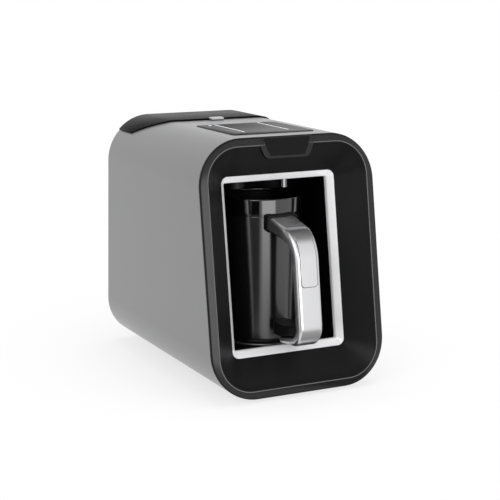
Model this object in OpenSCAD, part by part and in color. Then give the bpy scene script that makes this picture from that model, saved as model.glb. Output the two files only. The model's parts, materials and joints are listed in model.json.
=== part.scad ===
// Electric Turkish coffee maker: a sheet metal sleeve around a moulded front, a heated cavity
// with its pot, a water tank at the rear, and the pump, boards and covers that it holds.
// Millimetres. X runs across the machine, -Y is its front and +Z is up.

/* [Body sleeve] */
// Width of the sleeve
body_w = 160; // [152:1:176]
// Height of the sleeve
body_h = 209.5; // [206:0.5:222]
// Depth of the sleeve along its underside
body_d = 239.4; // [236:0.2:256]
// Outside radius of the sleeve's four long corners
corner_r = 39; // [34:0.5:42]
// Thickness of the sleeve's sheet
sheet_t = 1.6; // [1:0.1:2]
// How far the front face leans back, in degrees
front_lean = 8.6; // [8:0.1:9.4]
// How far the rear face leans forward, in degrees
rear_lean = 3.4; // [2.6:0.1:3.8]
// Height of the rubber feet below the sleeve
foot_h = 3; // [2:0.5:5]
// Radius of a rubber foot
foot_r = 8; // [6:0.5:9]

/* [Front bezel] */
// Thickness of the bezel's edge in front of the sleeve
flange_t = 2; // [1.5:0.1:3]
// Width of the flat rim between the outer edge and the ridge
rim_w = 6.4; // [5:0.1:8]
// How far the ridge stands in front of the outer edge
ridge_proud = 1.5; // [0.8:0.1:2.5]
// Corner radius of the ridge
ridge_r = 29; // [24:0.5:32]
// Depth of the funnel from the front face to the chrome trim
funnel_depth = 17.9; // [14:0.1:19]
// Wall of the bezel moulding
bezel_wall = 2.2; // [1.8:0.1:2.8]
// Length of the skirt that plugs into the sleeve
skirt_len = 10; // [6:0.5:14]
// Width of the tab that hangs from the rim above the opening
tab_w = 50; // [36:1:60]
// Height of the tab below the ridge
tab_h = 11.5; // [8:0.5:14]
// Radius of the tab's lower corners
tab_r = 6; // [4:0.5:7]
// How far each side of the tab draws in towards its lower end
tab_taper = 5; // [1:0.5:6]
// Thickness of the tab
tab_t = 3.6; // [2.5:0.1:4.5]
// Width of the tab's bare plate along its upper edge
blank_w = 43.6; // [36:0.2:44]
// Width of the plate along its lower edge
blank_foot_w = 31; // [24:0.2:32]
// Height of the plate's upper edge above the ridge
blank_rise = 5; // [3:0.1:5.2]
// Depth of the plate's lower edge below the ridge
blank_drop = 9; // [6:0.1:9.4]

/* [Opening and chrome trim] */
// Width of the trim, outside
mouth_w = 105.2; // [98:0.2:112]
// Gap between the ridge's top and the opening
mouth_drop = 23.8; // [22:0.1:26]
// Height of the trim's lower edge, up the leaning front
mouth_low = 32.1; // [31.6:0.1:32.6]
// Corner radius of the trim, outside
mouth_r = 6; // [4:0.5:9]
// Width of the trim's side bars
trim_side = 4.7; // [3.5:0.1:6]
// Height of the trim's lower bar, which is the spill lip
trim_low = 6.1; // [5:0.1:6.3]
// Height of the trim's upper bar
trim_top = 5.3; // [4:0.1:6]
// Depth of the trim's sloping face
trim_depth = 5.9; // [4.5:0.1:6.5]
// Length of the trim's return into the cavity
lip_len = 3.2; // [2:0.1:3.6]
// Wall of that return
lip_t = 1.2; // [0.8:0.1:1.6]

/* [Cavity] */
// Height of the cavity's floor
floor_z = 31.4; // [30:0.1:32]
// Depth of the cavity's ceiling below the sleeve's top
ceiling_drop = 36.5; // [33.5:0.1:37]
// Distance from the front foot to the cavity's rear wall
cavity_back = 116; // [112:1:120]
// Radius of the cavity's rear corners
cavity_r = 25; // [12:1:30]
// Wall of the cavity liner
liner_t = 2; // [1.5:0.1:2.5]
// Radius of the water spout
spout_r = 3.3; // [2.6:0.1:4]
// Distance of the spout from the middle
spout_x = 12.2; // [8:0.1:16]
// Distance of the spout behind the front foot
spout_y = 58.5; // [58.5:0.1:60]
// Length of the spout below the ceiling
spout_len = 11.1; // [7:0.1:11.2]
// Radius of the foam sensor's housing
sensor_r = 8; // [6:0.5:9]
// Distance of the foam sensor from the middle
sensor_x = 28; // [22:0.5:32]
// Distance of the foam sensor behind the front foot
sensor_y = 68; // [66:0.5:84]
// Length of the foam sensor below the ceiling
sensor_len = 10.4; // [6:0.1:11]

/* [Hot plate] */
// Distance of the pot's axis behind the front foot
pot_y = 74; // [74:0.1:76]
// Radius of the hot plate's raised face
plate_r = 34.6; // [33.5:0.1:35]
// How far the hot plate stands above the cavity's floor
plate_proud = 1; // [0.6:0.1:1.6]
// Thickness of the hot plate
plate_t = 5; // [4:0.5:6]
// Radius of the heating element's ring
element_r = 22; // [20:0.5:26]
// Radius of the heating element's tube
element_tube_r = 4; // [3:0.25:4.5]

/* [Pot] */
// Outside radius of the pot
pot_r = 32.5; // [30:0.1:32.6]
// Gap between the pot's rim and the spout
pot_gap = 6.3; // [6:0.1:12]
// Wall of the pot
pot_wall = 1.2; // [0.8:0.1:1.6]
// Radius of the pot's bottom edge
pot_edge_r = 4; // [3:0.5:6]
// Height of the glossy collar
collar_h = 12.9; // [9:0.1:15]
// How far the collar stands outside the pot
collar_out = 0.7; // [0.3:0.1:1]
// Height of the groove below the collar
groove_h = 1.7; // [1:0.1:2.5]

/* [Pot handle] */
// Width of the grip
grip_w = 21.5; // [18:0.5:23]
// Width of the handle where it meets the pot
root_w = 25; // [23:0.5:28]
// Depth of the handle's top below the pot's rim
handle_drop = 18.4; // [17:0.1:21]
// Distance from the pot to the corner that the shoulder rounds
handle_reach = 43.2; // [40:0.1:46]
// Slope of the top line, in degrees
shoulder_slope = 10; // [7:0.5:12]
// Lean of the grip, in degrees
grip_lean = 7.5; // [6:0.1:9]
// Radius of the shoulder
shoulder_r = 24; // [18:0.5:26]
// Height of the lower corner above the pot's bottom
heel_h = 13.8; // [13:0.1:16]
// Radius of the heel
heel_r = 13; // [10:0.5:14]
// Slope of the tail below the grip, in degrees
tail_slope = 9.5; // [7:0.5:12]
// Distance from the pot to the tail's tip
tail_gap = 19; // [16:0.5:22]
// Thickness of the silver shell along the grip
grip_t = 7.7; // [7:0.1:9]
// Wall of the silver shell
shell_wall = 2; // [1.6:0.1:2.4]
// How far the black core shows behind the shell
core_proud = 1.6; // [1.2:0.1:2.4]
// Width of the inlay in the grip
inlay_w = 14.5; // [12:0.5:15]
// Distance of the inlay's lower end below the handle's top
inlay_drop = 46; // [40:1:54]
// Radius of the inlay's lower corners
inlay_r = 3; // [1.5:0.5:5]

/* [Control panel] */
// Width of the panel
panel_w = 76; // [68:1:77]
// Depth of the panel
panel_d = 76; // [66:1:80]
// Distance from the front foot to the panel's front edge
panel_y = 51; // [46:1:56]
// How far the panel stands above the sleeve
panel_proud = 0.5; // [0.3:0.1:1]
// Distance from the middle to a light strip
strip_x = 20.7; // [16:0.1:26]
// Length of a light strip
strip_len = 58; // [40:1:60]

/* [Tank lid] */
// Distance from the front foot to the lid's front edge
lid_y = 167; // [166.5:0.1:168]
// Slope of the lid's side edge, in degrees
lid_slope = 22; // [20:0.5:24]
// Depth of the lid's rear edge below the sleeve's top
lid_drop = 12.1; // [11.1:0.1:12.5]
// How far the lid stands above the sleeve
lid_proud = 1.5; // [0.8:0.1:2]
// Wall of the lid
lid_t = 2.2; // [1.6:0.1:2.6]
// Width of the finger tab
finger_w = 12; // [10:0.2:20]
// Depth of the finger tab in front of the lid
finger_d = 5.5; // [4:0.5:12]
// Depth of the finger tab over the lid
finger_lap = 2; // [1.5:0.1:6]
// Distance from the middle to a hinge
hinge_x = 44; // [36:0.5:48]

/* [Water tank] */
// Width of the tank
tank_w = 131; // [120:0.5:131]
// Depth of the tank
tank_d = 51; // [48:0.5:51]
// Distance from the front foot to the tank
tank_y = 171.5; // [171.5:0.1:172]
// Height of the tank's underside
tank_z = 17.5; // [16:0.5:20]
// Depth of the tank's rim below the lid's rear edge
tank_drop = 0.9; // [0.8:0.1:7]
// Wall of the tank
tank_wall = 2; // [1.5:0.1:2.5]
// Radius of the tank's front corners
tank_front_r = 30; // [29:0.5:34]
// Radius of the tank's rear corners
tank_rear_r = 10; // [6:0.5:12]

/* [Hidden] */

$fn = 96;
// Clearance between pieces that are fitted together and stay
fit = 0.1;
// Clearance between pieces that move past each other
run = 0.5;
// Radial clearance of a pin that turns in its bore
pin_fit = 0.05;
// Reach of a cutting solid past whatever it cuts
far = 400;

// Places that several pieces share
flat_x = body_w / 2 - corner_r;
liner_q = funnel_depth + trim_depth + 0.2;
liner_flange_t = 2;
cavity_x = mouth_w / 2 - trim_side + lip_t + 0.2;
pot_z = floor_z + plate_proud;
plate_under_z = pot_z - plate_t;
plate_flange_r = plate_r + 4.4;
lid_low = body_h - lid_drop;
tank_top_z = lid_low - tank_drop;
ceiling_z = body_h - ceiling_drop;
spout_tip_z = ceiling_z - spout_len;
sensor_z = ceiling_z - sensor_len;
pot_h = spout_tip_z - pot_gap - pot_z;
handle_top = pot_h - handle_drop;
lid_corner_y = lid_y + lid_drop / tan(lid_slope);
lid_gap = run;
lid_under_z = body_h + lid_proud - lid_t;
hinge_r = 2.6;
hinge_pin_r = 1.25;
hinge_z = lid_low + 7.1;
hinge_y = rear_y(hinge_z) - hinge_r - 0.4;
chassis_t = 2;
chassis_top = sheet_t + chassis_t;
bay_wall = 2;
bay_y = lid_y + 0.4;
bay_floor_t = 2.5;
bay_floor_z = tank_z - bay_floor_t;
socket_y = tank_y + tank_d / 2;

// Height and depth of a point on the leaning front: s up the face, q behind it
// Distance up the leaning front at which a level z meets the depth q
function up_front(z, q) = (z + q * sin(front_lean)) / cos(front_lean);
// Depth of the leaning rear face at the height z
function rear_y(z) = body_d - z * tan(rear_lean);
function dir(a) = [cos(a), sin(a)];
function unit(v) = v / norm(v);
function mix(a, b, k) = a + (b - a) * k;
function ease(k) = k * k * (3 - 2 * k);

// ---------------------------------------------------------------- frames and cutting solids

// Local x across, y up the leaning front face, z out of it towards the user
module on_front() rotate([90 - front_lean, 0, 0]) children();

// Local x across, y up the leaning rear face, z out of it
module on_rear() translate([0, body_d, 0]) rotate([0, 0, 180]) rotate([90 - rear_lean, 0, 0]) children();

module behind_front(q) on_front() translate([-far, -far, -q - 2 * far]) cube(2 * far);

module before_rear(inset) on_rear() translate([-far, -far, -inset - 2 * far]) cube(2 * far);

// Extrudes an outline drawn in x and z from the depth y0 to y1
module along_y(y0, y1) translate([0, y1, 0]) rotate([90, 0, 0]) linear_extrude(y1 - y0) children();

// Extrudes an outline drawn in y and z across the middle, or from x0 over the width w
module along_x(w, x0 = undef)
    translate([is_undef(x0) ? -w / 2 : x0, 0, 0]) rotate([90, 0, 90]) linear_extrude(w) children();

module rounded_rect(w, h, r) {
    translate([-w / 2 + r, 0]) square([w - 2 * r, h]);
    translate([-w / 2, r]) square([w, h - 2 * r]);
    for (x = [r - w / 2, w / 2 - r], y = [r, h - r])
        translate([x, y]) circle(r);
}

module pillar(x, y, z0, z1, r) translate([x, y, z0]) cylinder(r = r, h = z1 - z0);

module box(x0, x1, y0, y1, z0, z1) translate([x0, y0, z0]) cube([x1 - x0, y1 - y0, z1 - z0]);

// ---------------------------------------------------------------- lofts

// A rounded rectangle on the leaning front: half width, lower and upper edge, radius, depth and
// how far its corners are stretched up the face
function front_loop(hw, lo, hi, r, q, stretch = 1, n = 10) =
    let (x = hw - r, low = lo + r * stretch, high = hi - r * stretch) [
        for (c = [[x, low, -90], [x, high, 0], [-x, high, 90], [-x, low, 180]])
            for (i = [0:n]) let (a = c[2] + 90 * i / n) [c[0] + r * cos(a), c[1] + stretch * r * sin(a), -q]
    ];

// The body's own outline on the leaning front, inset from the sleeve's outside
function body_loop(inset, q) =
    front_loop(
        body_w / 2 - inset, up_front(inset, q), up_front(body_h - inset, q), corner_r - inset, q,
        1 / cos(front_lean)
    );

// Skin between loops of equal length, closed round and from the last loop to the first
module ring_loft(loops) {
    m = len(loops[0]);
    k = len(loops);
    polyhedron(
        points = [for (loop = loops) each loop],
        faces = [
            for (i = [0:k - 1], j = [0:m - 1])
                let (n = (j + 1) % m, over = ((i + 1) % k) * m)
                let (a = i * m + j, b = i * m + n, c = over + n, d = over + j)
                each [[a, c, b], [a, d, c]]
        ]
    );
}

// Skin over loops of equal length with a flat cap at each end
module rod_loft(loops) {
    m = len(loops[0]);
    k = len(loops);
    polyhedron(
        points = [for (loop = loops) each loop],
        faces = [
            [for (j = [0:m - 1]) j],
            [for (j = [m - 1:-1:0]) (k - 1) * m + j],
            for (i = [0:k - 2], j = [0:m - 1])
                let (n = (j + 1) % m, over = (i + 1) * m)
                let (a = i * m + j, b = i * m + n, c = over + n, d = over + j)
                each [[a, d, c], [a, c, b]]
        ]
    );
}

// A smooth curve through hand-placed points, with the given number of steps between them
function spline(p, steps) = [
    for (i = [0:len(p) - 2], k = [0:steps - 1]) spline_point(p, i, k / steps),
    p[len(p) - 1]
];
function spline_point(p, i, t) =
    let (a = i > 0 ? p[i - 1] : 2 * p[0] - p[1], b = p[i], c = p[i + 1],
         d = i < len(p) - 2 ? p[i + 2] : 2 * p[i + 1] - p[i])
    (2 * b + (c - a) * t + (2 * a - 5 * b + 4 * c - d) * t * t + (3 * b - a - 3 * c + d) * t * t * t) / 2;

function tangent(p, i) = unit(p[min(i + 1, len(p) - 1)] - p[max(i - 1, 0)]);

function tube_ring(p, i, r, side, sides) =
    let (t = tangent(p, i), n = unit(cross(t, side)), b = cross(t, n))
    [for (k = [0:sides - 1]) p[i] + r * (cos(360 * k / sides) * n + sin(360 * k / sides) * b)];

// A hose along a smooth curve; side is a direction that the curve never runs along
module hose(points, r, bore, side, steps = 4, sides = 10) {
    p = spline(points, steps);
    last = len(p) - 1;
    ring_loft(concat(
        [for (i = [0:last]) tube_ring(p, i, r, side, sides)],
        [for (i = [last:-1:0]) tube_ring(p, i, bore, side, sides)]
    ));
}

// ---------------------------------------------------------------- sleeve

// The body's section, inset from its outside, with extra height on top
module body_section(inset, raise = 0)
    translate([0, inset]) rounded_rect(body_w - 2 * inset, body_h + raise - 2 * inset, corner_r - inset);

// The body's volume between planes parallel to its front and its rear face
module body_volume(inset, q, rear) {
    intersection() {
        along_y(-20, body_d + 20) body_section(inset);
        behind_front(q);
        before_rear(rear);
    }
}

// Everything above the lid's lower edge, which slopes down at the sides and then runs level
module lid_zone(gap)
    along_x(body_w + 20) polygon([
        [lid_y + gap, body_h + 20], [lid_y + gap, body_h + gap], [lid_corner_y + gap, lid_low + gap],
        [body_d + 20, lid_low + gap], [body_d + 20, body_h + 20]
    ]);

module panel_outline(grow) {
    translate([0, panel_y - grow]) rounded_rect(panel_w + 2 * grow, panel_d + 2 * grow, panel_r + grow);
}

base_cut_x = flat_x - 5;
base_cut_y = [54, body_d - 49.4];
feet_y = [36, body_d - 31.4];
feet_x = flat_x - foot_r - 1.5;
foot_stem_r = 3;

module at_feet() for (x = [-feet_x, feet_x], y = feet_y) translate([x, y, 0]) children();

// Screws of the base plate, in rows of two beyond each end of the opening
base_screw_x = base_cut_x - 6;
base_screw_y = [base_cut_y[0] - 4.5, base_cut_y[1] + 4.5];
module at_base_screws() {
    for (x = [-base_screw_x, base_screw_x], y = base_screw_y) translate([x, y, 0]) children();
}

module body_sleeve() {
    color("darkgray") difference() {
        body_volume(0, flange_t, 0);
        body_volume(sheet_t, flange_t - 10, -10);
        lid_zone(0);
        translate([0, 0, body_h - 10]) linear_extrude(20) panel_outline(fit);
        box(-base_cut_x, base_cut_x, base_cut_y[0], base_cut_y[1], -1, sheet_t + 1);
        at_feet() translate([0, 0, -1]) cylinder(r = foot_stem_r + fit, h = sheet_t + 2);
        at_base_screws() translate([0, 0, -1]) cylinder(r = 1.9, h = sheet_t + 2);
    }
}

// ---------------------------------------------------------------- front bezel

skirt_t = 2;
skirt_q = flange_t + skirt_len;
ridge_lo = up_front(0, 0) + rim_w;
ridge_hi = up_front(body_h, 0) - rim_w;
mouth_hi = ridge_hi - mouth_drop;
bezel_land = 0.2;
blank_land = 0.8;

function mouth_loop(grow, q) =
    front_loop(mouth_w / 2 + grow, mouth_low - grow, mouth_hi + grow, mouth_r + grow, q);
function ridge_loop(inset, q) =
    front_loop(body_w / 2 - rim_w - inset, ridge_lo + inset, ridge_hi - inset, ridge_r - inset, q);

// Screws that hold the liner to the bezel, on the leaning front
boss_x = mouth_w / 2 + 6.9;
boss_r = 3.2;
boss_s = [mouth_low + 16, mouth_hi - 16];
module at_bosses() on_front() for (x = [-boss_x, boss_x], s = boss_s) translate([x, s, 0]) children();
// Depth at which the back of the funnel lies behind a boss
boss_q = funnel_depth * 0.76;
funnel_slope = atan2(funnel_depth + ridge_proud, body_w / 2 - rim_w - mouth_w / 2);

// The tab's outline, hanging from the ridge, with sides that draw in and round lower corners
module tab_outline() {
    hw = tab_w / 2;
    side = atan2(tab_taper, tab_h);
    x = hw - tab_taper - tab_r / cos(side) + tab_r * tan(side);
    corner = arc(x, ridge_hi - tab_h + tab_r, tab_r, -90, -side, 6);
    polygon(concat(corner, [[hw, ridge_hi], [-hw, ridge_hi]], [for (i = [6:-1:0]) [-corner[i].x, corner[i].y]]));
}

// The plate's outline, which runs from the tab up over the rim, grown by a margin
module blank_outline(grow) {
    side = atan2((blank_w - blank_foot_w) / 2, blank_rise + blank_drop);
    out = grow / cos(side);
    high = blank_w / 2 + out + grow * tan(side);
    foot = blank_foot_w / 2 + out - grow * tan(side);
    top = ridge_hi + blank_rise + grow;
    low = ridge_hi - blank_drop - grow;
    polygon([[foot, low], [high, top], [-high, top], [-foot, low]]);
}

module front_bezel() {
    color([0.13, 0.13, 0.14]) difference() {
        union() {
            on_front() ring_loft([
                body_loop(0, 0),
                ridge_loop(0, -ridge_proud),
                ridge_loop(1, -ridge_proud + 0.3),
                mouth_loop(bezel_land, funnel_depth),
                mouth_loop(bezel_land, liner_q),
                mouth_loop(bezel_land + bezel_wall, liner_q),
                mouth_loop(bezel_land + bezel_wall, funnel_depth + 1),
                body_loop(sheet_t + fit + skirt_t, flange_t),
                body_loop(sheet_t + fit + skirt_t, skirt_q),
                body_loop(sheet_t + fit, skirt_q),
                body_loop(sheet_t + fit, flange_t),
                body_loop(0, flange_t)
            ]);
            on_front() translate([0, 0, ridge_proud - tab_t]) linear_extrude(tab_t) tab_outline();
            on_front() translate([0, 0, -flange_t / 4])
                linear_extrude(ridge_proud + flange_t / 4) blank_outline(blank_land);
            for (m = [0, 1]) mirror([m, 0]) difference() {
                on_front() for (s = boss_s) translate([boss_x, s, -liner_q]) cylinder(r = boss_r, h = liner_q);
                on_front() translate([boss_x, 0, -boss_q]) rotate([0, -funnel_slope, 0])
                    translate([-far, -far, 0]) cube(2 * far);
            }
        }
        at_bosses() translate([0, 0, -liner_q - 1]) cylinder(r = 1.3, h = 8);
    }
}

// A bare plate on the tab
module name_plate() {
    color([0.2, 0.2, 0.21]) on_front() translate([0, 0, ridge_proud]) linear_extrude(0.6) blank_outline(0);
}

module bezel_screws() {
    color("silver") at_bosses() translate([0, 0, -liner_q - liner_flange_t]) {
        translate([0, 0, -2]) cylinder(r = 2.6, h = 2);
        cylinder(r = 1.25, h = liner_flange_t + 6);
    }
}

trim_hi = mouth_hi - trim_top;
trim_lo = mouth_low + trim_low;
trim_r = 1.5;
function trim_loop(grow, q) =
    front_loop(mouth_w / 2 - trim_side + grow, trim_lo - grow, trim_hi + grow, trim_r + grow, q);

module cavity_trim() {
    color("white") on_front() ring_loft([
        mouth_loop(0, funnel_depth),
        trim_loop(0, funnel_depth + trim_depth),
        trim_loop(0, funnel_depth + trim_depth + lip_len),
        trim_loop(lip_t, funnel_depth + trim_depth + lip_len),
        trim_loop(lip_t, liner_q),
        mouth_loop(0, liner_q)
    ]);
}

// ---------------------------------------------------------------- cavity liner and heater

// Plan of the cavity, open to the front, grown by the liner's wall for its outside
module cavity_plan(grow) {
    x = cavity_x + grow;
    back = cavity_back + grow;
    r = cavity_r + grow;
    translate([-x, -20]) square([2 * x, back - r + 20]);
    translate([r - x, -20]) square([2 * (x - r), back + 20]);
    for (c = [r - x, x - r]) translate([c, back - r]) circle(r);
}

// Four bosses under the floor carry the heater's bracket
heater_boss_r = 4;
heater_boss_x = plate_flange_r - 3;
heater_boss_y = 25;
element_low_z = plate_under_z - 2 * element_tube_r + 0.5;
bracket_t = 1.5;
module at_heater_bosses()
    for (x = [-heater_boss_x, heater_boss_x], y = [pot_y - heater_boss_y, pot_y + heater_boss_y])
        translate([x, y, 0]) children();

spout_neck_r = spout_r + 0.7;
sensor_neck_r = sensor_r - 2;

module cavity_liner() {
    color([0.06, 0.06, 0.06]) difference() {
        union() {
            intersection() {
                translate([0, 0, floor_z - liner_t])
                    linear_extrude(ceiling_z - floor_z + 2 * liner_t) cavity_plan(liner_t);
                behind_front(liner_q);
            }
            on_front() translate([0, mouth_low - 10, -liner_q - liner_flange_t])
                linear_extrude(liner_flange_t) rounded_rect(mouth_w + 20, mouth_hi - mouth_low + 20, mouth_r + 8);
            at_heater_bosses() pillar(0, 0, element_low_z, floor_z - liner_t, heater_boss_r);
        }
        translate([0, 0, floor_z]) linear_extrude(ceiling_z - floor_z) cavity_plan(0);
        pillar(0, pot_y, floor_z - liner_t - 1, floor_z + 1, plate_r + 1.9);
        pillar(spout_x, spout_y, ceiling_z - 1, ceiling_z + liner_t + 1, spout_neck_r + fit);
        pillar(-sensor_x, sensor_y, ceiling_z - 1, ceiling_z + liner_t + 1, sensor_neck_r + fit);
        at_bosses() translate([0, 0, -liner_q - liner_flange_t - 1]) cylinder(r = 1.6, h = liner_flange_t + 2);
        at_heater_bosses() pillar(0, 0, element_low_z - 1, element_low_z + 7, 1.3);
    }
}

module hot_plate() {
    color("silver") rotate_about_pot() polygon([
        [0, plate_under_z], [plate_flange_r, plate_under_z], [plate_flange_r, plate_under_z + 1.4],
        [plate_r, plate_under_z + 1.4], [plate_r, pot_z - 0.6], [plate_r - 0.6, pot_z], [0, pot_z]
    ]);
}

module rotate_about_pot() translate([0, pot_y, 0]) rotate_extrude() children();

module plate_seal() {
    seal_in = plate_r + fit;
    seal_out = plate_r + 1.8;
    low = plate_under_z + 1.4;
    under_floor = floor_z - liner_t;
    color("dimgray") rotate_about_pot() polygon([
        [seal_in, low], [plate_flange_r, low], [plate_flange_r, under_floor], [seal_out, under_floor],
        [seal_out, floor_z + 0.4], [seal_in, floor_z + 0.4]
    ]);
}

module heating_element() {
    centre_z = element_low_z + element_tube_r;
    color("gray") difference() {
        union() {
            translate([0, pot_y, centre_z]) rotate([0, 0, 120]) rotate_extrude(angle = 300)
                translate([element_r, 0]) circle(element_tube_r);
            for (a = [60, 120]) translate([0, pot_y, centre_z]) rotate([0, 0, a])
                translate([element_r, 0, 0]) cylinder(r = element_tube_r - 1, h = 3, center = true);
        }
        box(-far, far, 0, far, plate_under_z, far);
    }
}

module thermostat() {
    color("tan") {
        pillar(0, pot_y, plate_under_z - 7, plate_under_z, 8.5);
        box(-1.5, 1.5, pot_y - 12, pot_y + 12, plate_under_z - 8, plate_under_z - 7);
    }
}

module thermal_fuse() {
    fuse_r = 1.8;
    color("white") translate([0, pot_y - element_r + element_tube_r + fuse_r + 0.6, plate_under_z - fuse_r])
        rotate([0, 90, 0]) cylinder(r = fuse_r, h = 11, center = true);
}

module heater_bracket() {
    w = heater_boss_x + heater_boss_r + 2;
    d = heater_boss_y + heater_boss_r + 2;
    color("lightsteelblue") difference() {
        translate([0, pot_y - d, element_low_z - bracket_t])
            linear_extrude(bracket_t) rounded_rect(2 * w, 2 * d, 6);
        pillar(0, pot_y, 0, element_low_z + 1, element_r - element_tube_r - 3);
        at_heater_bosses() pillar(0, 0, 0, element_low_z + 1, 1.6);
    }
}

module bracket_screws() {
    color("silver") at_heater_bosses() {
        pillar(0, 0, element_low_z - bracket_t - 2, element_low_z - bracket_t, 2.8);
        pillar(0, 0, element_low_z - bracket_t, element_low_z + 6, 1.25);
    }
}

// A nozzle through the ceiling, with a flange above it and a barb for the hose
barb_r = 2.6;
hose_r = 4;
hose_bore = 2.9;
spout_flange_z = ceiling_z + liner_t;
spout_barb_z = spout_flange_z + 9;

module water_spout() {
    color([0.1, 0.1, 0.1]) translate([spout_x, spout_y, 0]) rotate_extrude() polygon([
        [1.5, spout_tip_z], [spout_r - 0.5, spout_tip_z], [spout_r, spout_tip_z + 1], [spout_r, ceiling_z - 2],
        [spout_neck_r, ceiling_z - 1], [spout_neck_r, spout_flange_z], [spout_neck_r + 1, spout_flange_z],
        [spout_neck_r + 1, spout_flange_z + 1.5], [barb_r, spout_flange_z + 1.5], [barb_r, spout_barb_z],
        [1.5, spout_barb_z]
    ]);
}

module foam_sensor() {
    color([0.12, 0.12, 0.12]) translate([-sensor_x, sensor_y, 0]) rotate_extrude() polygon([
        [sensor_r - 3, sensor_z], [sensor_r - 1, sensor_z], [sensor_r, sensor_z + 1], [sensor_r, ceiling_z],
        [sensor_neck_r, ceiling_z], [sensor_neck_r, ceiling_z + liner_t + 3], [0, ceiling_z + liner_t + 3],
        [0, sensor_z + 2.5], [sensor_r - 3, sensor_z + 2.5]
    ]);
}

module sensor_lens() {
    color("gray") pillar(-sensor_x, sensor_y, sensor_z + 0.4, sensor_z + 2.5, sensor_r - 3 - fit);
}

// ---------------------------------------------------------------- control panel and its board

panel_rim_z = body_h - sheet_t;
panel_r = 4;
panel_top_z = body_h + panel_proud;
board_z = panel_rim_z - 9.7;
board_t = 1.6;
board_w = panel_w - 14;
board_d = panel_d - 16;
board_y = panel_y + 8;
board_post_z = panel_rim_z - 2;
module at_board_posts()
    for (x = [4 - board_w / 2, board_w / 2 - 4], y = [board_y + 4, board_y + board_d - 4])
        translate([x, y, 0]) children();

module control_panel() {
    color([0.25, 0.25, 0.26]) difference() {
        union() {
            translate([0, 0, panel_rim_z - 0.01])
                linear_extrude(panel_top_z - panel_rim_z + 0.01) panel_outline(0);
            translate([0, 0, board_post_z]) linear_extrude(panel_rim_z - board_post_z) panel_outline(1.4);
        }
        status_place() cylinder(r = 1.7, h = 20, center = true);
        for (x = [-strip_x, strip_x])
            box(x - 0.7, x + 0.7, strip_y, strip_y + strip_len, panel_top_z - 0.5, panel_top_z + 1);
    }
}

strip_y = panel_y + 15;
module light_strips() {
    color("white") for (x = [-strip_x, strip_x])
        box(x - 0.65, x + 0.65, strip_y, strip_y + strip_len, panel_top_z - 0.5, panel_top_z + 0.1);
}

module status_place() translate([-strip_x - 6, strip_y + strip_len - 3, panel_top_z]) children();

module status_lens() {
    color("white") status_place() translate([0, 0, board_post_z - panel_top_z])
        cylinder(r = 1.65, h = panel_top_z - board_post_z + 0.1);
}

module touch_board() {
    color("darkgreen") difference() {
        union() {
            translate([0, board_y, board_z]) linear_extrude(board_t) rounded_rect(board_w, board_d, 3);
            for (x = [-strip_x, strip_x], y = [board_y + 14, board_y + 30, board_y + 46])
                box(x - 2, x + 2, y - 1.5, y + 1.5, board_z + board_t - 0.01, board_z + board_t + 1.4);
            box(-6, 6, board_y + 24, board_y + 36, board_z + board_t - 0.01, board_z + board_t + 1.2);
        }
        at_board_posts() pillar(0, 0, board_z - 1, board_z + board_t + 1, 1.6);
    }
}

module board_posts() {
    color("dimgray") at_board_posts() {
        pillar(0, 0, board_z + board_t, board_post_z, 2.6);
        pillar(0, 0, board_z, board_z + board_t, 1.5);
        pillar(0, 0, board_z - 1.5, board_z, 2.6);
    }
}

module buzzer() color([0.1, 0.1, 0.1]) pillar(-18, board_y + 20, board_z - 7, board_z, 5.5);

// ---------------------------------------------------------------- chassis, base and feet

column_r = 4;
column_xy = [[flat_x - 11, 36], [flat_x - 7, cavity_back - 4]];
pump_x = [-34, 2];
pump_y = 143;
pump_z = 30;
pump_r = 12;
pump_head = 26;
mount_t = 3;
mount_w = 6;
cradle_x = [pump_x[0] + 8, pump_x[1] - 8];
tray_cut_x = base_cut_x - 10;

module chassis() {
    color([0.2, 0.2, 0.2]) difference() {
        union() {
            box(-flat_x + 0.5, flat_x - 0.5, feet_y[0] - 20, feet_y[1] + 12, sheet_t, chassis_top);
            for (x = [-1, 1], c = column_xy) pillar(x * c[0], c[1], sheet_t, floor_z - liner_t, column_r);
            at_base_screws() pillar(0, 0, sheet_t, chassis_top + 6, 3.6);
            for (x = cradle_x) box(x - 1.5, x + 1.5, pump_y - 17, pump_y + 17, sheet_t, pump_z - 2);
        }
        box(-tray_cut_x, tray_cut_x, base_cut_y[0], pump_y - 20, 0, chassis_top + 1);
        box(-tray_cut_x, tray_cut_x, pump_y + 20, base_cut_y[1], 0, chassis_top + 1);
        along_x(pump_x[1] - pump_x[0], pump_x[0]) translate([pump_y, pump_z]) circle(pump_r + mount_t + 0.05);
        at_base_screws() pillar(0, 0, 0, chassis_top + 4, 1.3);
        at_feet() pillar(0, 0, 0, chassis_top + 1, foot_stem_r + 2);
    }
}

base_plate_t = 1.5;
slot_gap = 6;
slot_w = (2 * base_cut_x - 3 * slot_gap) / 3;

// Rows of slots let warm air out under the pump
module base_plate() {
    color([0.1, 0.1, 0.1]) difference() {
        union() {
            translate([0, base_cut_y[0] - 9, -base_plate_t])
                linear_extrude(base_plate_t) rounded_rect(2 * base_cut_x + 6, base_cut_y[1] - base_cut_y[0] + 18, 5);
            box(fit - base_cut_x, base_cut_x - fit, base_cut_y[0] + fit, base_cut_y[1] - fit, -0.01, sheet_t - fit);
        }
        for (k = [-1, 0, 1], i = [0:6])
            translate([k * (slot_w + slot_gap), base_cut_y[0] + 12.5 + i * 7, -5])
                linear_extrude(10) rounded_rect(slot_w, 3, 1.49);
        at_base_screws() pillar(0, 0, -5, 5, 1.9);
        at_base_screws() pillar(0, 0, -5, -base_plate_t + 0.9, 3.2);
    }
}

module base_screws() {
    color("silver") at_base_screws() {
        pillar(0, 0, -base_plate_t - 0.6, 0.9 - base_plate_t, 2.9);
        pillar(0, 0, 0.9 - base_plate_t, chassis_top + 3, 1.25);
    }
}

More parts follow.
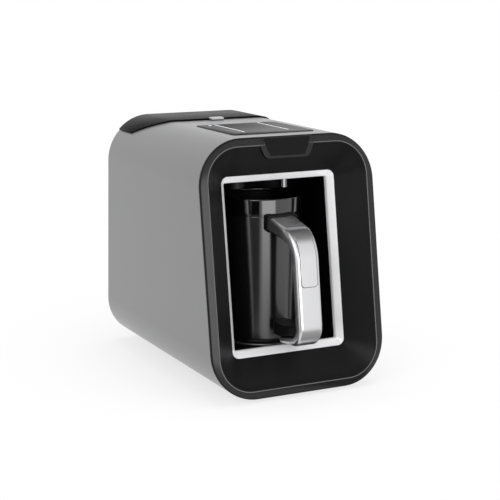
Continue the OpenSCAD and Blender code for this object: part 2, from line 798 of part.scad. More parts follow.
module feet() {
    color([0.15, 0.15, 0.15]) at_feet() rotate_extrude() polygon([
        [0, -foot_h], [foot_r - 1, -foot_h], [foot_r, 1 - foot_h], [foot_r, 0], [foot_stem_r, 0],
        [foot_stem_r, sheet_t], [foot_stem_r + 1, sheet_t], [foot_stem_r - 0.6, sheet_t + 1.8], [0, sheet_t + 1.8]
    ]);
}

// ---------------------------------------------------------------- tank bay, boards and pump

socket_out_r = 13.9;
socket_hole_r = socket_out_r + fit;
pipe_z = 9.6;
bay_top_z = lid_low + 8;
board2_x = [-52, 30];
wire_x = board2_x[0] + 12;
board2_h = 74;
board2_z = [ceiling_z - 7 - board2_h, ceiling_z - 7];
board2_y = bay_y - 4 - 1.6;
module at_board2_posts()
    for (x = [board2_x[0] + 5, board2_x[1] - 5], z = [board2_z[0] + 5, board2_z[1] - 5])
        translate([x, 0, z]) rotate([-90, 0, 0]) children();

// A bulkhead across the sleeve with a floor behind it for the tank
module tank_bay() {
    color([0.3, 0.3, 0.3]) difference() {
        union() {
            intersection() {
                along_y(bay_y, bay_y + bay_wall) body_section(sheet_t + fit);
                box(-far, far, 0, far, chassis_top + fit, bay_top_z);
            }
            intersection() {
                body_volume(sheet_t + 2 * fit + cover_skirt_t, 0, cover_recess + cover_t + 2);
                box(-far, far, bay_y, far, bay_floor_z, tank_z);
            }
            at_board2_posts() translate([0, 0, bay_y - 4]) cylinder(r = 3, h = 4.01);
            at_cover_screws() translate([0, 0, -cover_recess - cover_t - 14 - fit]) cylinder(r = 3.4, h = 14);
            for (x = [2 - flat_x, flat_x - 2])
                box(x - 3, x + 3, bay_y, bay_y + 30, chassis_top, bay_floor_z + 0.01);
        }
        pillar(0, socket_y, 0, tank_z + 1, socket_hole_r);
        box(-hose_r - 1, hose_r + 1, bay_y - 1, bay_y + bay_wall + 1, pipe_z - hose_r - 1, pipe_z + hose_r + 1);
        at_board2_posts() translate([0, 0, bay_y - 5]) cylinder(r = 1.3, h = 4);
        at_cover_screws() translate([0, 0, -far / 2]) cylinder(r = 1.3, h = far);
        box(wire_x, wire_x + 14, bay_y - 1, bay_y + bay_wall + 1, chassis_top - 1, chassis_top + 7);
    }
}

module power_board() {
    color("darkgreen") difference() {
        box(board2_x[0], board2_x[1], board2_y, board2_y + 1.6, board2_z[0], board2_z[1]);
        at_board2_posts() translate([0, 0, board2_y - 1]) cylinder(r = 1.6, h = 4);
    }
}

// A wound bobbin between the halves of its core
module transformer() {
    x = board2_x[0] + 24;
    z = board2_z[0] + 24;
    color("goldenrod") {
        box(x - 15, x + 15, board2_y - 24, board2_y, z - 9, z + 9);
        box(x - 9, x + 9, board2_y - 22, board2_y - 2, z - 13, z + 13);
    }
}

module relays() {
    color("royalblue") for (x = [board2_x[0] + 52, board2_x[0] + 70])
        box(x - 7.5, x + 7.5, board2_y - 15.5, board2_y, board2_z[0] + 10, board2_z[0] + 29);
}

module capacitors() {
    color("slateblue") translate([board2_x[0] + 24, board2_y, board2_z[1] - 18]) rotate([90, 0, 0]) {
        cylinder(r = 8, h = 22);
        translate([22, 0, 0]) cylinder(r = 5, h = 12);
        translate([36, 0, 0]) cylinder(r = 5, h = 12);
    }
}

// A membrane pump: motor, head and two pipe stubs
module water_pump() {
    head_x = pump_x[1];
    half = pump_head / 2;
    color("gainsboro") difference() {
        union() {
            along_x(pump_x[1] - pump_x[0], pump_x[0]) translate([pump_y, pump_z]) circle(pump_r);
            along_x(2.5, pump_x[0] - 2.5) translate([pump_y, pump_z]) circle(4);
            box(head_x - 0.01, head_x + 16, pump_y - half, pump_y + half, pump_z - half, pump_z + half);
            along_x(7, head_x + 15.9) translate([pump_y, pump_z]) circle(barb_r);
            pillar(head_x + 8, pump_y, pump_z + pump_head / 2 - 0.01, pump_z + pump_head / 2 + 7, barb_r);
        }
        along_x(12, head_x + 15) translate([pump_y, pump_z]) circle(1.6);
        pillar(head_x + 8, pump_y, pump_z + 2, pump_z + pump_head / 2 + 11, 1.6);
    }
}

module pump_mounts() {
    color("black") for (x = cradle_x) along_x(mount_w, x - mount_w / 2) translate([pump_y, pump_z])
        difference() {
            circle(pump_r + mount_t);
            circle(pump_r + 0.02);
        }
}

socket_floor_z = 6.5;

// From the tank's socket, through the bulkhead, to the pump's inlet
module suction_hose() {
    inlet = [pump_x[1] + 18, pump_y, pump_z];
    start = [0, socket_y - socket_out_r - 2, pipe_z];
    color("whitesmoke") hose([
        start, start - [0, 5, 0], start - [0, 11, 0], start - [-4, 25, -1], [22, 152, 14], [38, 147, 21],
        inlet + [14, 0, -1], inlet + [8, 0, 0], inlet + [4, 0, 0], inlet
    ], hose_r, hose_bore, [0, 0, 1]);
}

// From the pump's outlet, up behind the cavity and over it to the spout
module delivery_hose() {
    outlet = [pump_x[1] + 8, pump_y, pump_z + pump_head / 2 + 2];
    spout = [spout_x, spout_y, spout_flange_z + 3];
    over = spout_flange_z + 17.6;
    function rise(k) = mix(outlet.z, spout_flange_z - 1, k);
    color("whitesmoke") hose([
        outlet, outlet + [0, 0, 4], outlet + [0, 0, 8], [17, pump_y - 2, rise(0.22)],
        [34, pump_y - 6, rise(0.38)], [41, pump_y - 9, rise(0.59)], [39, pump_y - 11, rise(0.81)],
        [28, pump_y - 17, rise(1)], [16, 108, over - 3.6], [spout_x, spout_y + 25.5, over],
        [spout_x, spout_y + 9.5, over], [spout_x, spout_y + 2.1, over - 2.2], spout + [0, 0, 8],
        spout + [0, 0, 4], spout
    ], hose_r, hose_bore, [1, 0, 0]);
}

seal_z = 12.5;
boss_fit_r = 9.2;
pipe_bore = 1.2;

// A cup under the bay's floor takes the tank's valve; its pin lifts the poppet
module tank_socket() {
    inner = boss_fit_r + run;
    color([0.85, 0.85, 0.85]) difference() {
        union() {
            translate([0, socket_y, 0]) rotate_extrude() polygon([
                [0, socket_floor_z], [socket_out_r, socket_floor_z], [socket_out_r, bay_floor_z - 1.6],
                [socket_out_r + 3, bay_floor_z - 1.6], [socket_out_r + 3, bay_floor_z],
                [socket_out_r, bay_floor_z], [socket_out_r, tank_z - 0.3],
                [inner, tank_z - 0.3], [inner, seal_z + 1.5], [inner + 2.2, seal_z + 1.5],
                [inner + 2.2, seal_z - 1.5], [inner, seal_z - 1.5], [inner, socket_floor_z + 1.6],
                [1.2, socket_floor_z + 1.6], [1.2, pin_top_z], [0, pin_top_z]
            ]);
            translate([0, socket_y - socket_out_r + 1, pipe_z])
                rotate([90, 0, 0]) cylinder(r = barb_r, h = 7);
        }
        translate([0, socket_y - inner + 0.5, pipe_z]) rotate([90, 0, 0]) cylinder(r = pipe_bore, h = 20);
    }
}

module socket_seal() {
    ring_r = 1.15;
    color("darkred") translate([0, socket_y, seal_z]) rotate_extrude()
        translate([boss_fit_r + 0.3 + ring_r, 0]) circle(ring_r);
}

// ---------------------------------------------------------------- back cover

cover_recess = 0.8;
cover_t = 2.5;
cover_skirt_t = 2;
cover_top_z = lid_low - 0.8;
cover_skirt_z = cover_top_z - 10;
vents = 9;
vent_low = 34;
vent_pitch = 9;
vent_w = 84;
vent_h = 3;
gland_x = 22;
gland_z = 10.6;
gland_r = 4.4;
cover_screw_x = flat_x - 1;
cover_screw_z = 13.5;
module at_cover_screws()
    for (x = [-cover_screw_x, cover_screw_x]) on_rear() translate([x, cover_screw_z, 0]) children();

module back_cover() {
    color([0.12, 0.12, 0.12]) difference() {
        intersection() {
            body_volume(sheet_t + fit, 0, cover_recess);
            box(-far, far, 0, far, 0, cover_top_z);
        }
        body_volume(sheet_t + fit + cover_skirt_t, 0, cover_recess + cover_t);
        before_rear(12);
        box(-far, far, 0, rear_y(cover_skirt_z) - cover_recess - cover_t, cover_skirt_z, far);
        on_rear() for (i = [0:vents - 1])
            translate([0, vent_low + vent_pitch * i - vent_h / 2, -far / 2])
                linear_extrude(far) rounded_rect(vent_w, vent_h, vent_h / 2 - 0.01);
        at_cover_screws() translate([0, 0, -20]) cylinder(r = 1.7, h = 40);
        at_cover_screws() translate([0, 0, -1.8 - cover_recess + 0.6]) cylinder(r = 3.2, h = 10);
        on_rear() translate([gland_x, gland_z, -20]) cylinder(r = gland_r + fit, h = 40);
    }
}

module back_screws() {
    color("silver") at_cover_screws() {
        translate([0, 0, -1.2 - cover_recess]) cylinder(r = 2.9, h = 1.6);
        translate([0, 0, -cover_recess - cover_t - 10]) cylinder(r = 1.25, h = cover_t + 9);
    }
}

// The bush in the cover through which a mains lead would enter
module cord_gland() {
    color([0.08, 0.08, 0.08]) on_rear() translate([gland_x, gland_z, 0]) rotate_extrude() polygon([
        [3.1, -cover_recess - cover_t - 1.5], [gland_r + 1.2, -cover_recess - cover_t - 1.5],
        [gland_r + 1.2, -cover_recess - cover_t], [gland_r, -cover_recess - cover_t], [gland_r, -cover_recess],
        [gland_r + 1.5, -cover_recess], [gland_r + 0.8, 0.6], [3.1, 0.6]
    ]);
}

// ---------------------------------------------------------------- water tank and valve

valve_stroke = 2;
seat_z = 12.5;
pin_top_z = 10.6;
stem_low_z = pin_top_z + 0.1;
head_low_z = seat_z + valve_stroke;
housing_low_z = 10.2;
cap_z = 27.5;
valve_bore_r = 6.6;

module tank_corner(r, a) rotate(a) intersection() { circle(r); square(r + 1); }

// Plan of the tank: wide round corners in front, small ones behind
module tank_plan(inset) {
    hw = tank_w / 2 - inset;
    y0 = tank_y + inset;
    y1 = tank_y + tank_d - inset;
    rf = tank_front_r - inset;
    rr = tank_rear_r - inset;
    translate([rf - hw, y0]) square([2 * (hw - rf), y1 - y0]);
    translate([-hw, y0 + rf]) square([2 * hw, y1 - y0 - rf - rr]);
    translate([rr - hw, y1 - rr]) square([2 * (hw - rr), rr]);
    for (m = [0, 1]) mirror([m, 0]) {
        translate([hw - rf, y0 + rf]) tank_corner(rf, -90);
        translate([hw - rr, y1 - rr]) tank_corner(rr, 0);
    }
}

// A hinge post stands on the tank's rear wall and carries the pin behind it
hinge_w = 8;
module hinge_post_profile() {
    back = tank_y + tank_d;
    translate([hinge_y, hinge_z]) circle(hinge_r);
    polygon([
        [back - 4.5, tank_top_z - 8], [back - 0.5, tank_top_z - 8], [back, tank_top_z],
        [hinge_y + hinge_r, hinge_z - 3.4], [hinge_y + hinge_r, hinge_z], [hinge_y - hinge_r, hinge_z],
        [back - 4.5, hinge_z - 4]
    ]);
}

module at_hinges() for (x = [-hinge_x, hinge_x]) translate([x, 0, 0]) children();

module water_tank() {
    color([0.55, 0.6, 0.65, 0.6]) difference() {
        union() {
            difference() {
                translate([0, 0, tank_z]) linear_extrude(tank_top_z - tank_z) tank_plan(0);
                translate([0, 0, tank_z + tank_wall]) linear_extrude(tank_top_z - tank_z) tank_plan(tank_wall);
            }
            at_hinges() along_x(hinge_w) hinge_post_profile();
        }
        pillar(0, socket_y, 0, tank_z + tank_wall + 1, boss_fit_r + fit);
        at_hinges() along_x(hinge_w + 2) translate([hinge_y, hinge_z]) circle(hinge_pin_r + pin_fit);
    }
}

module valve_housing() {
    tank_floor = tank_z + tank_wall;
    color([0.9, 0.9, 0.9]) difference() {
        translate([0, socket_y, 0]) rotate_extrude() polygon([
            [3.6, housing_low_z], [boss_fit_r, housing_low_z], [boss_fit_r, tank_floor], [boss_fit_r + 4, tank_floor],
            [boss_fit_r + 4, tank_floor + 1.6], [boss_fit_r - 0.6, tank_floor + 1.6], [boss_fit_r - 0.6, cap_z],
            [valve_bore_r, cap_z], [valve_bore_r, seat_z], [3.6, seat_z]
        ]);
        for (a = [0, 90]) translate([0, socket_y, tank_floor + 4.2])
            rotate([0, 0, a]) cube([40, 4, 4], center = true);
    }
}

module valve_cap() {
    color([0.9, 0.9, 0.9]) translate([0, socket_y, 0]) rotate_extrude() polygon([
        [1.7, cap_z], [boss_fit_r - 0.6, cap_z], [boss_fit_r - 0.6, cap_z + 1.8], [1.7, cap_z + 1.8]
    ]);
}

module inlet_filter() {
    low = tank_z + tank_wall + 1.6;
    out = boss_fit_r + 3;
    color("white") difference() {
        pillar(0, socket_y, low, cap_z + 6, out);
        pillar(0, socket_y, low - 1, cap_z + 5, out - 1);
        for (a = [0:30:150]) translate([0, socket_y, mix(low, cap_z + 5, 0.5)])
            rotate([0, 0, a]) cube([40, 2, 8], center = true);
    }
}

module valve_poppet() {
    color("orange") translate([0, socket_y, 0]) rotate_extrude() polygon([
        [0, stem_low_z], [1.4, stem_low_z], [1.4, head_low_z + 0.8], [5.6, head_low_z + 0.8],
        [5.6, head_low_z + 2.4], [1.4, head_low_z + 2.4], [1.4, cap_z + 0.8], [0, cap_z + 0.8]
    ]);
}

module valve_seal() {
    color("black") translate([0, socket_y, 0]) rotate_extrude() polygon([
        [1.5, head_low_z], [5.4, head_low_z], [5.4, head_low_z + 0.8], [1.5, head_low_z + 0.8]
    ]);
}

// A closing spring between the poppet's head and the cap
module valve_spring() {
    wire = 0.45;
    turns = 4;
    low = head_low_z + 2.4 + wire;
    high = cap_z - wire;
    steps = turns * 12;
    path = [for (i = [0:steps]) [3.4 * cos(30 * i), socket_y + 3.4 * sin(30 * i), mix(low, high, i / steps)]];
    color("silver") rod_loft([for (i = [0:steps]) tube_ring(path, i, wire, [0, 0, 1], 6)]);
}

// ---------------------------------------------------------------- lid

ear_t = 3;
hinge_swing = hinge_z - lid_low - lid_gap;

module lid_body(inset, front, rear)
    intersection() {
        along_y(lid_y + front, body_d + 20) body_section(inset, lid_proud);
        before_rear(rear);
    }

// The skirt's lower rear corner is rounded about the hinge so that it clears the cover as it opens
module swing_corner() {
    difference() {
        translate([hinge_y, hinge_z - 20]) square([40, 20]);
        translate([hinge_y, hinge_z]) circle(hinge_swing);
    }
}

module tank_lid() {
    slot = hinge_w / 2 + run;
    color([0.2, 0.2, 0.21]) difference() {
        union() {
            difference() {
                intersection() {
                    lid_body(0, lid_gap, 0);
                    lid_zone(lid_gap);
                }
                lid_body(lid_t, lid_gap + lid_t, lid_t);
                along_x(body_w + 20) swing_corner();
                at_hinges() box(-slot, slot, hinge_y - 8, far, lid_low - 1, hinge_z + hinge_r + run);
            }
            at_hinges() for (x = [-slot - ear_t, slot]) along_x(ear_t, x) {
                translate([hinge_y, hinge_z]) circle(hinge_r);
                translate([hinge_y - hinge_r, hinge_z]) square([2 * hinge_r, lid_under_z - hinge_z + 0.1]);
            }
        }
        at_hinges() along_x(2 * (slot + ear_t) + 2) translate([hinge_y, hinge_z]) circle(hinge_pin_r + 0.01);
    }
}

module hinge_pins() {
    w = 2 * (hinge_w / 2 + run + ear_t);
    color("silver") at_hinges() along_x(w) translate([hinge_y, hinge_z]) circle(hinge_pin_r);
}

// A light tongue over the lid's front edge, to lift it by
module lid_tab() {
    top = body_h + lid_proud;
    color("lightgray") along_x(finger_w) polygon([
        [lid_y - finger_d, top - 0.9], [lid_y - finger_d + 1, top + 1], [lid_y + finger_lap - 0.6, top + 1],
        [lid_y + finger_lap, top],
        [lid_y + lid_gap - fit, top], [lid_y + lid_gap - fit, top - 0.9]
    ]);
}

// ---------------------------------------------------------------- pot

neck_r = pot_r - pot_wall * 0.75;
collar_low = pot_h - collar_h;
body_top = collar_low - groove_h;

// Outline of a turned vessel with a round bottom edge, from the axis outwards
module vessel_half(r, h, edge) {
    square([r - edge, h]);
    translate([0, edge]) square([r, h - edge]);
    translate([r - edge, edge]) circle(edge);
}

module pot_body() {
    color([0.1, 0.1, 0.1]) translate([0, pot_y, pot_z]) rotate_extrude() intersection() {
        difference() {
            union() {
                vessel_half(pot_r, body_top, pot_edge_r);
                translate([0, body_top - 1]) square([neck_r, pot_h - 3 - body_top + 1]);
            }
            translate([0, 4]) vessel_half(pot_r - pot_wall - 0.4, pot_h, pot_edge_r - 1);
            square([base_r + fit, base_t]);
        }
        square([far, far]);
    }
}

base_r = pot_r - pot_edge_r - 0.5;
base_t = 2.4;

module pot_base() color("silver") pillar(0, pot_y, pot_z, pot_z + base_t, base_r);

module pot_collar() {
    out = pot_r + collar_out;
    color([0.05, 0.05, 0.05]) translate([0, pot_y, pot_z]) rotate_extrude() difference() {
        union() {
            translate([neck_r + 0.02, collar_low]) square([out - neck_r - 0.02, collar_h - 1]);
            translate([neck_r - 0.8, pot_h - 2.9]) square([out - neck_r - 0.2, 1.9]);
            translate([neck_r + 0.2, pot_h - 1]) square([out - neck_r - 1.2, 1]);
            translate([out - 1, pot_h - 1]) circle(1);
            translate([neck_r + 0.2, pot_h - 1]) circle(1);
        }
        translate([-1, collar_low - 1]) square([2, 1]);
    }
}

// Distance in front of the pot's wall (u) and height above its bottom (v) along the handle
function bar_u(v) = handle_reach + (handle_top - v - handle_reach * tan(shoulder_slope)) * tan(grip_lean);
corner_a = [handle_reach, handle_top - handle_reach * tan(shoulder_slope)];
corner_b = [bar_u(heel_h), heel_h];
top_dir = -shoulder_slope;
bar_dir = grip_lean - 90;
tail_dir = tail_slope - 180;

// Rounds the corner c between two directions, turning clockwise: [u, v, direction]
function fillet(c, d0, d1, r, n) =
    let (turn = d1 - d0, start = c - r * tan(-turn / 2) * dir(d0), centre = start + r * dir(d0 - 90))
    [for (i = [0:n]) let (d = d0 + turn * i / n, p = centre + r * dir(d + 90)) [p.x, p.y, d]];

shoulder = fillet(corner_a, top_dir, bar_dir, shoulder_r, 8);
heel = fillet(corner_b, bar_dir, tail_dir, heel_r, 7);
tail_v = heel_h + (tail_gap - corner_b.x) * tan(tail_slope);
root_u = 1.2;
heel_c = [heel[0][0], heel[0][1]] + heel_r * dir(bar_dir - 90);

// Stations of the handle: u, v, direction, half width and thickness
function top_v(u) = handle_top - u * tan(shoulder_slope);
root_t = 10.4;
shoulder_t = 8.6;
heel_t = 6.8;
tip_t = 3.2;
function station(p, hw, t) = [p[0], p[1], p[2], hw, t];
function root_hw(k) = mix(root_w, grip_w, ease(min(1, k))) / 2;
function handle_stations(u0) = concat(
    [for (k = [0, 1, 2]) let (u = mix(u0, shoulder[0][0], k / 3))
        station([u, top_v(u), top_dir], root_hw(k / 6), mix(root_t, shoulder_t, ease(k / 3)))],
    [for (i = [0:8]) station(shoulder[i], root_hw((3.5 + i) / 11.5), mix(shoulder_t, grip_t, ease(i / 8)))],
    [for (i = [0:7]) station(heel[i], (grip_w - 0.06 * i) / 2, mix(grip_t, heel_t, ease(i / 7)))],
    [station([tail_gap, tail_v, tail_dir], (grip_w - 2) / 2, tip_t)]
);

// Places a section point, w across and n outwards, at a station of the handle
function on_handle(st, w, n) =
    let (out = dir(st[2] + 90)) [w, pot_y - pot_r - st[0] - n * out.x, pot_z + st[1] + n * out.y];

function arc(cx, cy, r, a0, a1, n) =
    [for (i = [0:n]) let (a = mix(a0, a1, i / n)) [cx + r * cos(a), cy + r * sin(a)]];

// Channel section of the silver shell: round outer edges, open towards the pot
function shell_section(hw, t) =
    let (r = min(3, t * 0.6), slot = hw - shell_wall, top = t / 2, inner = 0.04 - top)
    concat(
        [[-hw, -top]], arc(r - hw, top - r, r, 180, 90, 5), arc(hw - r, top - r, r, 90, 0, 5),
        [[hw, -top], [slot, inner], [slot, top - shell_wall], [-slot, top - shell_wall], [-slot, inner]]
    );

// Black core: a web in the channel and a rounded back that shows along the finger side
function core_section(hw, t) =
    let (web = hw - shell_wall - fit, back = hw - 0.8, shelf = -t / 2 - 0.05, low = shelf - core_proud, r = core_proud * 0.7)
    concat(
        [[-web, t / 2 - shell_wall - fit], [web, t / 2 - shell_wall - fit], [web, shelf + 0.03], [back, shelf]],
        arc(back - r, low + r, r, 0, -90, 4), arc(r - back, low + r, r, -90, -180, 4), [[-back, shelf], [-web, shelf + 0.03]]
    );

function place_section(st, section) = [for (p = section) on_handle(st, p.x, p.y)];

module handle_shell() {
    color([0.85, 0.85, 0.86])
        rod_loft([for (st = handle_stations(root_u)) place_section(st, reverse(shell_section(st[3], st[4])))]);
}

module handle_core() {
    sts = handle_stations(root_u);
    color([0.08, 0.08, 0.08])
        rod_loft([for (st = sts) place_section(st, reverse(core_section(st[3], st[4])))]);
}

function reverse(v) = [for (i = [len(v) - 1:-1:0]) v[i]];

// A thin panel along the grip's face and round its shoulder, with round lower corners
inlay_t = 0.5;
inlay_low = handle_top - inlay_drop;
function inlay_hw(rise) = inlay_w / 2 - inlay_r + sqrt(inlay_r ^ 2 - (inlay_r - rise) ^ 2);
function inlay_section(hw, t) = [[-hw, t / 2], [-hw, t / 2 + inlay_t], [hw, t / 2 + inlay_t], [hw, t / 2]];
module handle_inlay() {
    over = [for (i = [2:8])
        place_section(shoulder[i], reverse(inlay_section(inlay_w / 2, mix(shoulder_t, grip_t, ease(i / 8)))))];
    along = [for (k = [1, 0.6, 0.3, 0.1, 0.02]) let (rise = k * inlay_r, v = inlay_low + rise)
        place_section([bar_u(v), v, bar_dir], reverse(inlay_section(inlay_hw(rise), grip_t)))];
    color([0.8, 0.8, 0.81]) rod_loft(concat(over, along));
}

// A socket on the pot's wall that wraps the root of the handle
mount_wrap = 1.3;
module root_block(grow, u0, u1)
    translate([0, pot_y - pot_r, pot_z + handle_top]) rotate([shoulder_slope, 0, 0]) {
        low = -root_t / 2 - core_proud - grow;
        high = root_t / 2 + grow;
        translate([0, -u0, low]) rotate([90, 0, 0]) linear_extrude(u1 - u0)
            rounded_rect(root_w + 2 * grow, high - low, 1.4 + grow);
    }

module upper_mount() {
    color([0.08, 0.08, 0.08]) difference() {
        root_block(mount_wrap, -8, root_u + 2.6);
        root_block(fit, root_u - fit, far);
        pillar(0, pot_y, 0, far, pot_r + 0.02);
        pillar(0, pot_y, pot_z + body_top - fit, far, pot_r + collar_out + fit);
    }
}

// The block between the pot's wall and the handle's tail, with a narrow neck at the pot
module lower_mount() {
    function floor_v(u) =
        heel_h + (u - corner_b.x) * tan(tail_slope) + core_proud + 2 * fit
        + mix(tip_t, heel_t, (u - tail_gap) / (heel_c.x - tail_gap)) / 2 / cos(tail_slope);
    inner = heel_r - grip_t / 2 - core_proud - fit;
    top = heel_h + 7.2;
    low = floor_v(tail_gap);
    color([0.08, 0.08, 0.08]) translate([0, pot_y - pot_r, pot_z]) difference() {
        intersection() {
            mirror([0, 1, 0]) along_x(far) polygon(concat(
                [[-8, low], [tail_gap, low]], arc(heel_c.x, heel_c.y, inner, -80.5, 0, 6),
                [[heel_c.x + inner - 0.6, top + 4], [heel_c.x + inner - 3, top + 4.6], [tail_gap + 7, top + 1], [-8, top]]
            ));
            translate([0, 0, -1]) linear_extrude(far) mirror([0, 1]) {
                translate([0, 3]) rounded_rect(grip_w - 2, 60, 6);
                translate([-5.5, -8]) square([11, 20]);
            }
        }
        pillar(0, pot_r, -2, far, pot_r + 0.02);
    }
}

// ---------------------------------------------------------------- assembly

// Foremost point of the handle, which with the rear foot of the sleeve gives the middle of the part
handle_front = pot_y - pot_r - (heel[0][0] + grip_t / 2);
origin_y = (handle_front + body_d) / 2;
module part() translate([0, -origin_y, foot_h]) children();

part() body_sleeve();
part() front_bezel();
part() name_plate();
part() cavity_trim();
part() cavity_liner();
part() bezel_screws();
part() hot_plate();
part() plate_seal();
part() heating_element();
part() thermostat();
part() thermal_fuse();
part() heater_bracket();
part() bracket_screws();
part() water_spout();
part() foam_sensor();
part() sensor_lens();
part() control_panel();
part() light_strips();
part() status_lens();
part() touch_board();
part() board_posts();
part() buzzer();
part() chassis();
part() base_plate();
part() base_screws();
part() feet();
part() tank_bay();
part() power_board();
part() transformer();
part() relays();
part() capacitors();
part() water_pump();
part() pump_mounts();
part() suction_hose();
part() delivery_hose();
part() tank_socket();
part() socket_seal();
part() back_cover();
part() back_screws();
part() cord_gland();
part() water_tank();
part() valve_housing();
part() valve_cap();
part() inlet_filter();
part() valve_poppet();
part() valve_seal();
part() valve_spring();
part() tank_lid();
part() lid_tab();
part() hinge_pins();
part() pot_body();
part() pot_base();
part() pot_collar();
part() handle_shell();
part() handle_core();
part() handle_inlay();
part() upper_mount();
part() lower_mount();
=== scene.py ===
"""Electric Turkish coffee maker: finishes, soft edges and small detail over its solids."""

import json
import math

import bmesh
import bpy
from mathutils import Matrix, Vector


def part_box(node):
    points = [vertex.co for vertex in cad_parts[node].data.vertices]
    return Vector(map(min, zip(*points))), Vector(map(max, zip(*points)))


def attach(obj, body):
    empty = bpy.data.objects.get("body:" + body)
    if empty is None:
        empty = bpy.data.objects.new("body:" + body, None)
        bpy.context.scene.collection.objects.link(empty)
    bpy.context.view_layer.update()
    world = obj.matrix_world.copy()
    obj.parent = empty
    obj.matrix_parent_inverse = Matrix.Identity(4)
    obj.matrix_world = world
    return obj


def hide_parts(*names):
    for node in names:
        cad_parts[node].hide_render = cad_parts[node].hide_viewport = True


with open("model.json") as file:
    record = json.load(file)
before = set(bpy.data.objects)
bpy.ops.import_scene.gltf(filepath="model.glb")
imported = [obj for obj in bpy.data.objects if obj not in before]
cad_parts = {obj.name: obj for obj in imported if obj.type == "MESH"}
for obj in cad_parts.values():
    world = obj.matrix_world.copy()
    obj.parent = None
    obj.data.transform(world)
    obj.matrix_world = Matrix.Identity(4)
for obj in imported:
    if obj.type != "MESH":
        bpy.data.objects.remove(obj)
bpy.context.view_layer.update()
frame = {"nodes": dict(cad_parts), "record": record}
NODES = frame["nodes"]
SUBPARTS = frame["record"]["subparts"]
SLOT_OF = {part["node"]: part["material_slot"] for part in SUBPARTS}
BODIES = frame["record"]["behaviour"]["bodies"]
BODY_OF = {node: body for body, nodes in BODIES.items() for node in nodes}
MM = 0.001
UM = 0.001 * MM
QUARTER = math.radians(90)

# ------------------------------------------------------------------ places, in metres

LEAN = math.radians(8.6)
FLANGE = 2 * MM
CORNER_R = 39 * MM
sleeve_low, sleeve_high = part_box("body_sleeve")
BODY_W = sleeve_high.x - sleeve_low.x
BODY_H = sleeve_high.z - sleeve_low.z
FOOT_Y = sleeve_low.y - FLANGE / math.cos(LEAN)
BASE_Z = sleeve_low.z
pot_low, pot_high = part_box("pot_body")
POT_R = (pot_high.x - pot_low.x) / 2
POT_Y = pot_high.y - POT_R
POT_Z = pot_low.z


def on_front(across, up, depth):
    """A point on the leaning front: across to the right, up the face, depth behind it."""
    y = FOOT_Y + up * math.sin(LEAN) + depth * math.cos(LEAN)
    return Vector((across, y, BASE_Z + up * math.cos(LEAN) - depth * math.sin(LEAN)))


def ease(k):
    """0 to 1 with a soft start and a soft end."""
    return k * k * (3 - 2 * k)


def mix(a, b, k):
    return a + (b - a) * k


def tangent(degrees):
    return math.tan(math.radians(degrees))


# ------------------------------------------------------------------ node trees


class Wire:
    """An output of a node, so that shader maths reads as a formula."""

    def __init__(self, maker, node, socket):
        self.maker, self.node, self.socket = maker, node, socket

    def __getitem__(self, name):
        return Wire(self.maker, self.node, self.node.outputs[name])

    def maths(self, operation, *values):
        return self.maker.node("ShaderNodeMath", {"operation": operation}, *values)

    def __add__(self, other):
        return self.maths("ADD", self, other)

    __radd__ = __add__

    def __mul__(self, other):
        return self.maths("MULTIPLY", self, other)

    __rmul__ = __mul__

    def __sub__(self, other):
        return self.maths("SUBTRACT", self, other)

    def __rsub__(self, other):
        return self.maths("SUBTRACT", other, self)

    def __truediv__(self, other):
        return self.maths("DIVIDE", self, other)

    def __rtruediv__(self, other):
        return self.maths("DIVIDE", other, self)

    def __lt__(self, other):
        return self.maths("LESS_THAN", self, other)

    def root(self):
        return self.maths("SQRT", self)

    def sine(self):
        return self.maths("SINE", self)

    def at_most(self, limit):
        return self.maths("MINIMUM", self, limit)

    def smooth(self, low, high):
        """0 below low, 1 above high, and eased between them."""
        eased = {"interpolation_type": "SMOOTHSTEP"}
        return self.maker.node("ShaderNodeMapRange", eased, self, low, high)


class Maker:
    """Adds nodes to a tree."""

    def __init__(self, tree):
        self.tree = tree

    def node(self, kind, settings=None, *values, **named):
        """A node of a kind: its settings first, then its sockets by place or by name."""
        made = self.tree.nodes.new(kind)
        for key, value in (settings or {}).items():
            setattr(made, key, value)
        for index, value in enumerate(values):
            self.feed(made.inputs[index], value)
        for key, value in named.items():
            self.feed(made.inputs[key.replace("_", " ")], value)
        return Wire(self, made, made.outputs[0] if made.outputs else None)

    def feed(self, socket, value):
        """Gives a socket a wire or a plain value."""
        if isinstance(value, Wire):
            self.tree.links.new(value.socket, socket)
        elif value is not None:
            socket.default_value = value

    def axes(self, place):
        """The three parts of a place or a direction."""
        split = self.node("ShaderNodeSeparateXYZ", None, place)
        return split["X"], split["Y"], split["Z"]

    def vector(self, x=0.0, y=0.0, z=0.0):
        return self.node("ShaderNodeCombineXYZ", None, x, y, z)


